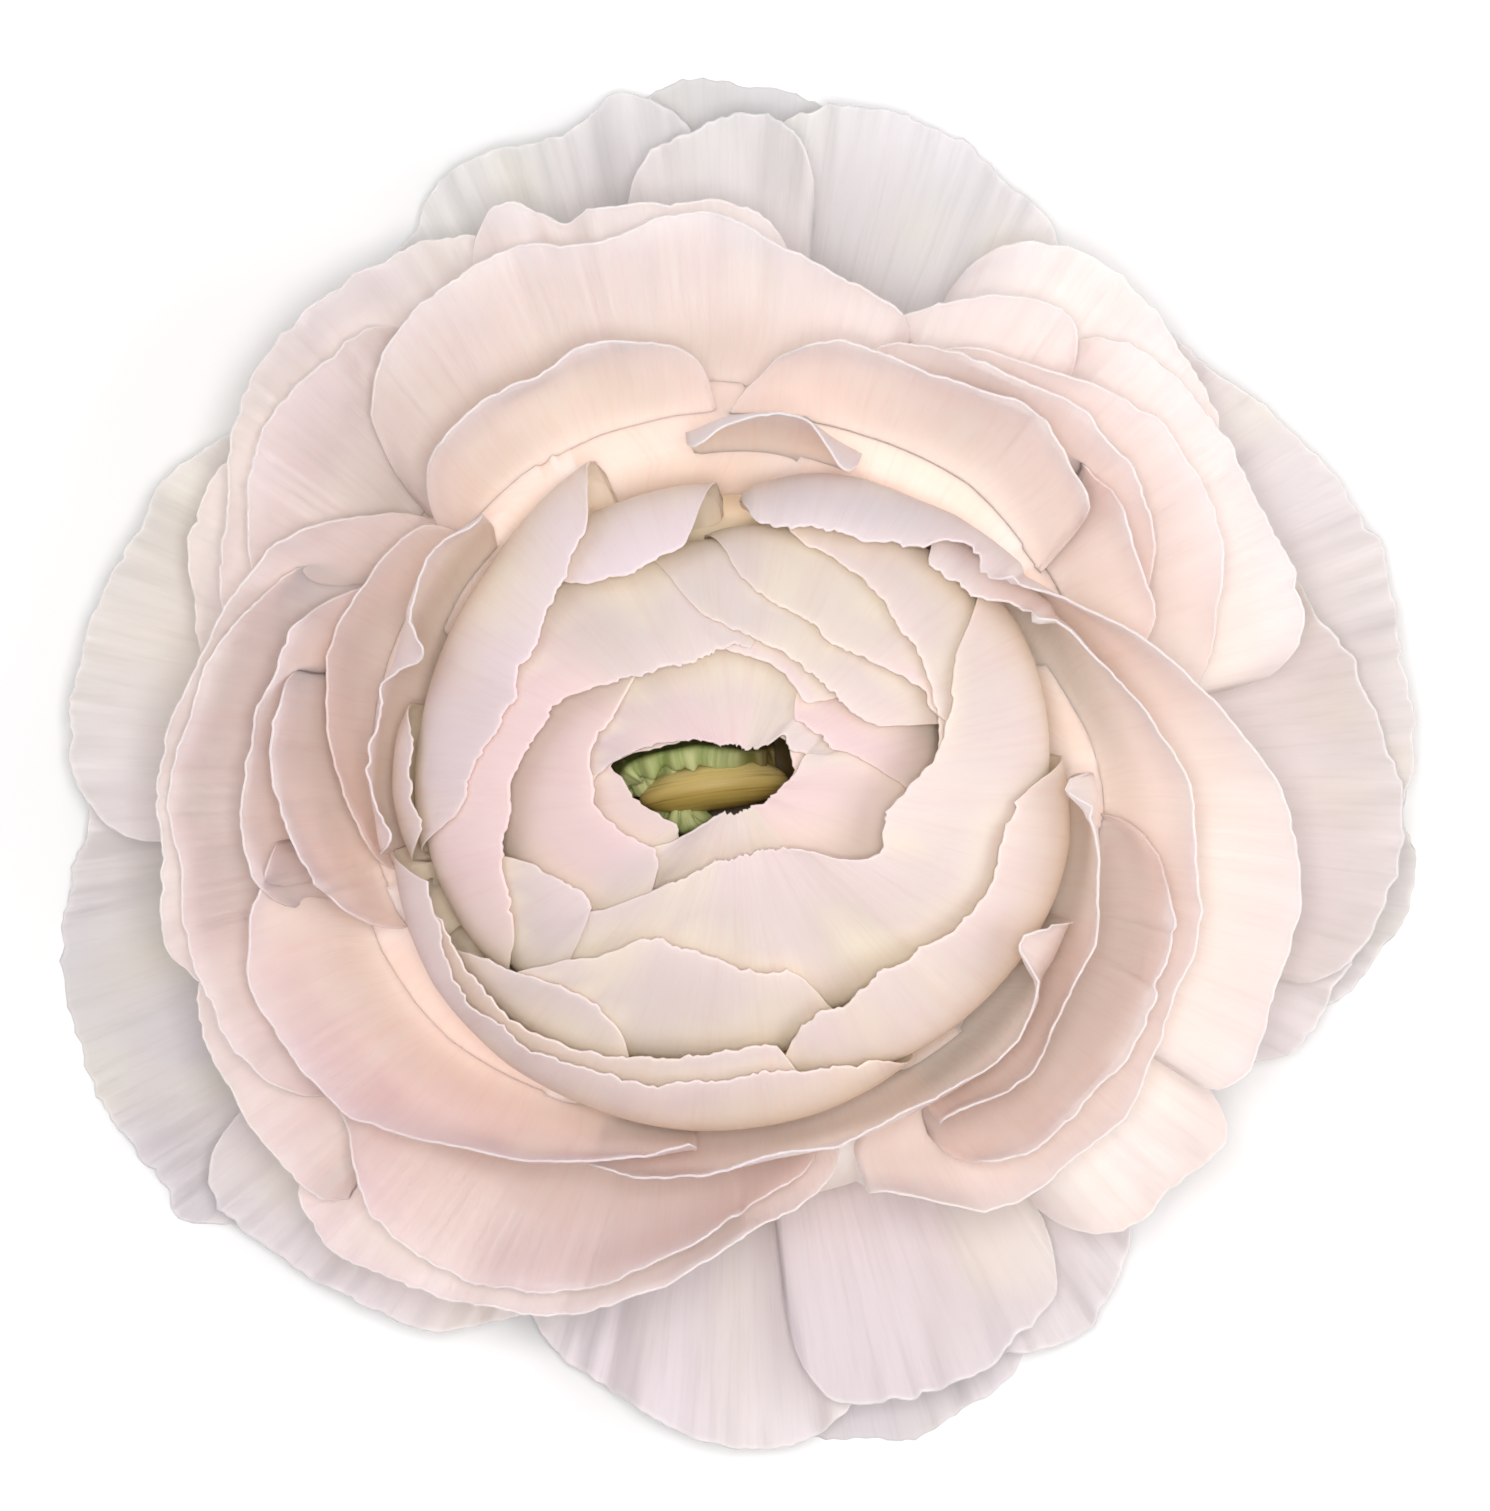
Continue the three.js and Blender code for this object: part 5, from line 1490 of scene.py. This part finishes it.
@dataclass
class GreenHeart(Assembly):
    """The crinkled green petals in the opening."""

    core_z: float = 20.7
    core_top: float = 23.6
    folds: tuple[Fold, ...] = (
        Fold(
            ((-7.0, -0.9, 26.0), (-7.6, 0.1, 27.2), (-7.1, 1.2, 28.2), (-5.8, 1.75, 28.5), (-4.2, 2.1, 28.6),
             (-2.6, 2.45, 28.5), (-0.9, 2.3, 28.3), (0.6, 2.1, 28.0), (2.0, 2.2, 27.2)),
            1.15, 5.0, 0.34,
        ),
        Fold(
            ((-7.3, 1.3, 26.6), (-5.7, 1.9, 27.2), (-3.8, 2.3, 27.3), (-1.8, 2.3, 27.1), (0.4, 2.2, 26.6),
             (2.6, 2.3, 25.8)),
            1.9, 4.2, 0.28,
        ),
        Fold(
            ((-1.6, -2.1, 26.6), (-2.5, -2.75, 27.2), (-3.5, -3.0, 27.2), (-4.6, -2.7, 26.8),
             (-5.5, -1.9, 26.0)),
            1.2, 4.2, 0.3,
        ),
    )

    def fold(self, n: int, fold: Fold, shape: Shape) -> None:
        """Adds one fold.

        Args:
            n: Its number.
            fold: Its sizes.
            shape: Where it goes.
        """
        crest = np.array(fold.crest)
        run = np.concatenate([[0.0], np.cumsum(np.linalg.norm(np.diff(crest, axis=0), axis=1))])
        at = np.linspace(0.0, run[-1], 97)
        line = np.stack([np.interp(at, run, crest[:, k]) for k in range(3)], axis=1)
        for _ in range(14):
            line[1:-1] = (line[:-2] + 2 * line[1:-1] + line[2:]) / 4
        way = np.gradient(line[:, :2], axis=0)
        way /= np.linalg.norm(way, axis=1, keepdims=True)
        inward = np.stack([way[:, 1], -way[:, 0]], axis=1)
        W = np.linspace(0.0, 1.0, 33)[None, :]
        bump = waves(at, n + 31.0, (3.7, 2.1), 0.7)[:, None]
        crinkle = waves(at[:, None] + 0.8 * np.sin(2.2 * W + n), n + 12.0, (1.15, 0.6), 0.8)
        over = smooth(0.45, 1.0, W)
        out = 0.9 * (1 - smooth(0.0, 0.5, W)) + 0.15 - over * fold.reach * (1 + 0.35 * bump)
        rise = -fold.depth * (1 - smooth(0.0, 0.6, W)) - 1.5 * np.maximum(W - 0.6, 0) ** 1.6 * fold.reach
        rise = rise + smooth(0.3, 0.7, W) * (fold.pucker * bump + 0.09 * crinkle)
        place = line[:, None, :2] - inward[:, None, :] * (out + 0.08 * crinkle * over)[..., None]
        grid = np.concatenate([place, (line[:, 2:3] + rise)[..., None]], axis=2)
        places, faces = slab(grid, 0.32 - 0.14 * over + 0 * at[:, None])
        # Painted highlight: paler where a fold rises and over its rolled-over crest.
        pale = np.clip(0.55 + 0.5 * bump + 0.25 * crinkle, 0, 1) * smooth(0.35, 0.75, W)
        # Painted shadow: umber towards the right of the opening and down at each fold's foot.
        far = smooth(-1.5, 2.6, line[:, :1]) * smooth(-2.0, 0.5, line[:, 1:2]) * 0.9
        tone = Tone.LEAF.linear() + (Tone.LEAF_PALE.linear() - Tone.LEAF.linear()) * pale[..., None]
        tone = tone + (Tone.UMBER.linear() - tone) * np.maximum(far, 1 - smooth(0.0, 0.45, W))[..., None]
        vein = np.stack([at[:, None] + 0 * W, 6 * W + 0 * at[:, None], n + 0 * tone[..., 0]], axis=2)
        tone, vein = tone.reshape(-1, 3), vein.reshape(-1, 3)
        shape.add(places, faces, np.tile(tone, (2, 1)), np.tile(vein, (2, 1)))

    def build(self, finish: PetalFinish) -> bpy.types.Object:
        """Makes the green heart.

        Args:
            finish: Its skin.

        Returns:
            The piece.
        """
        shape = Shape()
        for n, fold in enumerate(self.folds):
            self.fold(n, fold, shape)
        z, top = self.core_z, self.core_top
        # The drum under the folds is dark umber, a dark body that stands in for the shade deep in the
        # opening: painted shadow.
        profile = [(0, z), (5.4, z), (6.8, z + 0.9), (6.6, top - 0.6), (4.4, top), (0, top)]
        places, faces = turned(profile, 48)
        places[:, 0] = places[:, 0] * 1.02 - 1.6
        plain_body(shape, places, faces, (98, 78, 42))
        obj = shape.build("green_heart_petals", self.axis, finish.material())
        return self.place(obj, "green_heart", "young_petal")


@dataclass
class HeartBud(Assembly):
    """The closed ochre bud, a smooth lens on edge."""

    x: float = -1.4
    y: float = -0.3
    z: float = 26.1
    long: float = 4.95
    wide: float = 1.72
    high: float = 2.5
    bend: float = 0.35
    tilt: float = 7.5

    def build(self, finish: PetalFinish) -> bpy.types.Object:
        """Makes the bud.

        Args:
            finish: Its skin.

        Returns:
            The piece.
        """
        rings = 32
        profile = [
            (math.cos(-math.pi / 2 + math.pi * k / rings), math.sin(-math.pi / 2 + math.pi * k / rings))
            for k in range(rings + 1)
        ]
        ball, faces = turned(profile, 64)
        bow = self.bend * (1 - ball[:, 0] ** 2)
        x, y = ball[:, 0] * self.long, ball[:, 1] * self.wide + bow
        c, d = math.cos(self.tilt * DEG), math.sin(self.tilt * DEG)
        places = np.stack([self.x + x * c - y * d, self.y + x * d + y * c,
                           self.z + ball[:, 2] * self.high], axis=1)
        # Painted highlight: the lens is paler along its +y side, ochre on the other.
        side = smooth(-0.5, 0.8, ball[:, 1])[:, None]
        tone = Tone.OCHRE.linear() * (1 - side) + Tone.OCHRE_PALE.linear() * side
        vein = np.stack([ball[:, 1] * 5, ball[:, 0] * 2, ball[:, 2]], axis=1)
        shape = Shape()
        shape.add(places, faces, tone, vein)
        obj = shape.build("heart_bud_lens", self.axis, finish.material())
        return self.place(obj, "heart_bud", "bud")


@dataclass
class Calyx(Assembly):
    """Receptacle, five reflexed sepals and the stub of the stem."""

    stem_r: float = 2.9
    cut_z: float = 0.5
    half_width: float = 4.6
    count: int = 5

    def sepal(self, n: int, shape: Shape) -> None:
        """Adds one sepal.

        Args:
            n: Its number.
            shape: Where it goes.
        """
        turn = (18 + n * 360 / self.count + 5 * (draw(n, 7) - 0.5)) * DEG
        reach = 16.6 + 1.2 * draw(n, 9)
        U, W = np.meshgrid(np.linspace(0, 1, 33), np.linspace(0, 1, 41), indexing="ij")
        s = 2 * U - 1
        r = 3 + (reach - 3) * W
        half = np.maximum(self.half_width * (0.5 + 1.1 * W - 1.45 * W**3), 0.35)
        across = s * half
        z = 5.1 - 2.3 * W**2 - 0.35 * s**2 * W - 0.25 * np.sin(3 * math.pi * W) * W
        grid = np.stack([r * math.cos(turn) - across * math.sin(turn),
                         r * math.sin(turn) + across * math.cos(turn), z], axis=2)
        places, faces = slab(grid, 0.55 - 0.25 * W)
        pale = (0.55 * smooth(0.55, 1, np.abs(s)) + 0.4 * smooth(0.5, 1, W))[..., None]
        tone = (Tone.LEAF.linear() * (1 - pale) + Tone.LEAF_PALE.linear() * pale).reshape(-1, 3)
        vein = np.stack([across * 1.4, r, 0 * W + n], axis=2).reshape(-1, 3)
        shape.add(places, faces, np.tile(tone, (2, 1)), np.tile(vein, (2, 1)))

    def build(self, finish: PetalFinish) -> bpy.types.Object:
        """Makes the calyx.

        Args:
            finish: Its skin.

        Returns:
            The piece.
        """
        shape = Shape()
        for n in range(self.count):
            self.sepal(n, shape)
        r, z = self.stem_r, self.cut_z
        profile = [
            (0, z), (r - 0.15, z), (r, z + 0.2), (r + 0.1, 2.6), (r + 0.9, 3.6),
            (5.0, 4.6), (5.2, 5.4), (4.4, 6.0), (0, 6.0),
        ]
        plain_body(shape, *turned(profile, 48), (120, 146, 78))
        obj = shape.build("calyx_sepals", self.axis, finish.material())
        return self.place(obj, "calyx", "green")


@dataclass
class CalyxHairs(Assembly):
    """Fine pale hairs under the sepals and round the stub.

    Args:
        density: Hairs on a square millimetre.
        length: Length of the longest, in millimetres.
        width: Radius at the foot.
        lowest: Height under which none grow.
        upward: Greatest upward part of the skin's normal where they grow.
        lean: Greatest lean, in radians.
        smallest: Size of the smallest against the largest.
        seed: Seed of their places.
    """

    density: float = 2.2
    length: float = 1.1
    width: float = 0.05
    lowest: float = 1.8
    upward: float = 0.3
    lean: float = 0.6
    smallest: float = 0.45
    seed: int = 11

    def tree(self, material: bpy.types.Material) -> bpy.types.NodeTree:
        """Builds the nodes that scatter the hairs.

        Args:
            material: Their finish.

        Returns:
            The node tree.
        """
        tree = bpy.data.node_groups.new("scatter_hairs", "GeometryNodeTree")
        face = tree.interface
        face.new_socket("Skin", in_out="INPUT", socket_type="NodeSocketGeometry")
        for name in ("Density", "Length", "Width", "Lowest"):
            face.new_socket(name, in_out="INPUT", socket_type="NodeSocketFloat")
        face.new_socket("Seed", in_out="INPUT", socket_type="NodeSocketInt")
        face.new_socket("Hairs", in_out="OUTPUT", socket_type="NodeSocketGeometry")
        sheet = NodeSheet(tree)
        asked = sheet.add("NodeGroupInput").outputs
        seed = asked["Seed"]

        def upright(kind: str) -> bpy.types.NodeSocket:
            """The upright part of the skin's normal or place."""
            return sheet.add("ShaderNodeSeparateXYZ", {0: sheet.add(kind).outputs[0]}).outputs[2]

        given = {0: upright("GeometryNodeInputNormal"), 1: self.upward}
        down = sheet.add("FunctionNodeCompare", given, data_type="FLOAT", operation="LESS_THAN")
        given = {0: upright("GeometryNodeInputPosition"), 1: asked["Lowest"]}
        above = sheet.add("FunctionNodeCompare", given, data_type="FLOAT", operation="GREATER_THAN")
        given = {0: down.outputs[0], 1: above.outputs[0]}
        both = sheet.add("FunctionNodeBooleanMath", given, operation="AND").outputs[0]
        given = {"Mesh": asked["Skin"], "Selection": both, "Density": asked["Density"], "Seed": seed}
        spread = sheet.add("GeometryNodeDistributePointsOnFaces", given)
        given = {"Vertices": 4, "Radius Bottom": asked["Width"], "Depth": asked["Length"]}
        hair = sheet.add("GeometryNodeMeshCone", given)
        given = {0: (-self.lean, -self.lean, 0.0), 1: (self.lean, self.lean, 0.0), "Seed": seed}
        lean = sheet.add("FunctionNodeRandomValue", given, data_type="FLOAT_VECTOR")
        angle = sheet.add("FunctionNodeEulerToRotation", {0: lean.outputs[0]})
        given = {0: spread.outputs["Rotation"], 1: angle.outputs[0]}
        turn = sheet.add("FunctionNodeRotateRotation", given, rotation_space="LOCAL")
        given = {2: self.smallest, 3: 1.0, "Seed": seed}
        size = sheet.add("FunctionNodeRandomValue", given, data_type="FLOAT")
        given = {
            "Points": spread.outputs["Points"],
            "Instance": hair.outputs["Mesh"],
            "Rotation": turn.outputs[0],
            "Scale": size.outputs[1],
        }
        grown = sheet.add("GeometryNodeInstanceOnPoints", given)
        real = sheet.add("GeometryNodeRealizeInstances", {0: grown.outputs[0]})
        finish = sheet.add("GeometryNodeSetMaterial", {"Geometry": real.outputs[0], "Material": material})
        sheet.add("NodeGroupOutput", {"Hairs": finish.outputs[0]})
        return tree

    def build(self, skin: bpy.types.Object, finish: PlainFinish) -> bpy.types.Object:
        """Grows the hairs.

        Args:
            skin: The piece they grow from.
            finish: Their finish.

        Returns:
            The piece.
        """
        tree = self.tree(finish.material())
        values = {
            "Density": self.density / MM**2,
            "Length": self.length * MM,
            "Width": self.width * MM,
            "Lowest": self.lowest * MM,
            "Seed": self.seed,
        }
        carrier = bpy.data.objects.new("hair_carrier", skin.data.copy())
        bpy.context.scene.collection.objects.link(carrier)
        grow = carrier.modifiers.new("hairs", "NODES")
        grow.node_group = tree
        for item in tree.interface.items_tree:
            if item.item_type == "SOCKET" and item.name in values:
                grow[item.identifier] = values[item.name]
        evaluated = carrier.evaluated_get(bpy.context.evaluated_depsgraph_get())
        mesh = bpy.data.meshes.new_from_object(evaluated)
        carrier.modifiers.remove(grow)
        bpy.data.objects.remove(carrier)
        obj = bpy.data.objects.new("calyx_hairs", mesh)
        bpy.context.scene.collection.objects.link(obj)
        return self.place(obj, "calyx", "green")


# ---- the studio ----
# Square soft lights: name, place and side in metres, watts and linear colour.
LIGHTS = (
    ("key", (0.7, -0.15, 0.62), 0.8, 3.15, (1.0, 0.985, 0.965)),
    ("fill", (-0.6, 0.35, 0.75), 0.9, 2.15, (1.0, 0.99, 0.985)),
    ("top", (0.02, 0.0, 1.2), 0.3, 7.7, (1.0, 0.985, 0.985)),
)
ROOM_LIGHT = 0.45
FLOOR_HALF = 0.8
SENSOR = 36.0


@dataclass
class Studio:
    """Pale floor, soft light and the camera of the photo.

    Args:
        axis: The bloom's axis in the row frame, in metres.
        distance: From the camera to the bloom, in metres.
        view: Height of the picture at the bloom, in metres.
        offset: From the axis to the middle of the picture, in metres.
    """

    axis: np.ndarray
    distance: float = 2.4
    view: float = 0.1003
    offset: tuple[float, float] = (0.00066, 0.00196)

    def area(self, name: str, place: tuple[float, float, float], size: float, power: float,
             colour: tuple[float, float, float]) -> None:
        """Adds a square soft light that faces the bloom.

        Args:
            name: Its name.
            place: Where it stands, in metres.
            size: Side, in metres.
            power: Watts.
            colour: Its linear colour.
        """
        data = bpy.data.lights.new(name, "AREA")
        data.shape = "SQUARE"
        data.size = size
        data.energy = power
        data.color = colour
        lamp = bpy.data.objects.new(name, data)
        lamp.location = place
        x, y, z = place
        flat = math.hypot(x, y)
        lamp.rotation_euler = (math.atan2(flat, z), 0.0, math.atan2(y, x) + math.pi / 2)
        bpy.context.scene.collection.objects.link(lamp)

    def build(self) -> None:
        """Adds floor, lights, world and camera."""
        scene = bpy.context.scene
        mesh = bpy.data.meshes.new("floor")
        s = FLOOR_HALF
        mesh.from_pydata([(-s, -s, 0), (s, -s, 0), (s, s, 0), (-s, s, 0)], [], [(0, 1, 2, 3)])
        mesh.materials.append(PlainFinish("floor_white", (0.9, 0.9, 0.9), 0.8).material())
        floor = bpy.data.objects.new("floor", mesh)
        scene.collection.objects.link(floor)
        for light in LIGHTS:
            self.area(*light)
        world = bpy.data.worlds.new("soft_room")
        world.use_nodes = True
        back = world.node_tree.nodes["Background"]
        back.inputs["Color"].default_value = (1.0, 1.0, 1.0, 1.0)
        back.inputs["Strength"].default_value = ROOM_LIGHT
        scene.world = world
        scene.view_settings.view_transform = "Standard"
        data = bpy.data.cameras.new("photo_view")
        data.lens = SENSOR * self.distance / self.view
        data.clip_start = 0.01
        data.clip_end = 10.0
        eye = bpy.data.objects.new("photo_view", data)
        eye.location = (self.axis[0] + self.offset[0], self.axis[1] + self.offset[1], self.distance + 0.012)
        scene.collection.objects.link(eye)
        scene.camera = eye


def bloom_axis() -> np.ndarray:
    """Finds the bloom's axis from the bud's box.

    Returns:
        The axis at floor height, in metres.
    """
    low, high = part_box("heart_bud")
    x, y = (low[0] + high[0]) / 2, (low[1] + high[1]) / 2
    return np.array([x - BUD_OFFSET[0] * MM, y - BUD_OFFSET[1] * MM, 0.0])


def main() -> None:
    """Builds the bloom and its studio."""
    logging.basicConfig(level=logging.INFO, format="%(message)s")
    shells = ShellFamily(
        np.array([s[0] for s in SHELLS], dtype=float), np.array([s[1] for s in SHELLS], dtype=float)
    )
    axis = bloom_axis()
    guard = PetalFinish("guard_skin", 0.2, 0.05, 0.6, 0.4, Tone.SAGE)
    cup = PetalFinish("cup_skin", 0.16, 0.04, 0.55, 0.8, Tone.BLUSH)
    heart = PetalFinish("heart_skin", 0.16, 0.04, 0.52, 0.3, Tone.BLUSH)
    young = PetalFinish("young_skin", 0.35, 0.06, 0.5, 0.2, Tone.LEAF_DEEP)
    bud = PetalFinish("bud_skin", 0.4, 0.04, 0.45, 0.15, Tone.UMBER)
    leaf = PetalFinish("leaf_skin", 0.3, 0.05, 0.65, 0.1, Tone.LEAF_DEEP)
    painted_recess_glow = PaintedRecessGlow()
    GuardPetals(shells, axis, painted_recess_glow).build(guard)
    CupPetals(shells, axis, painted_recess_glow).build(cup)
    HeartPetals(shells, axis, painted_recess_glow).build(heart)
    # Paints the recess glow into the petals' colours.
    painted_recess_glow.warm()
    GreenHeart(shells, axis, painted_recess_glow).build(young)
    HeartBud(shells, axis, painted_recess_glow).build(bud)
    calyx = Calyx(shells, axis, painted_recess_glow).build(leaf)
    hair = PlainFinish("hair_pale", (0.78, 0.8, 0.66), 0.5)
    CalyxHairs(shells, axis, painted_recess_glow).build(calyx, hair)
    Studio(axis).build()


if __name__ == "__main__":
    main()
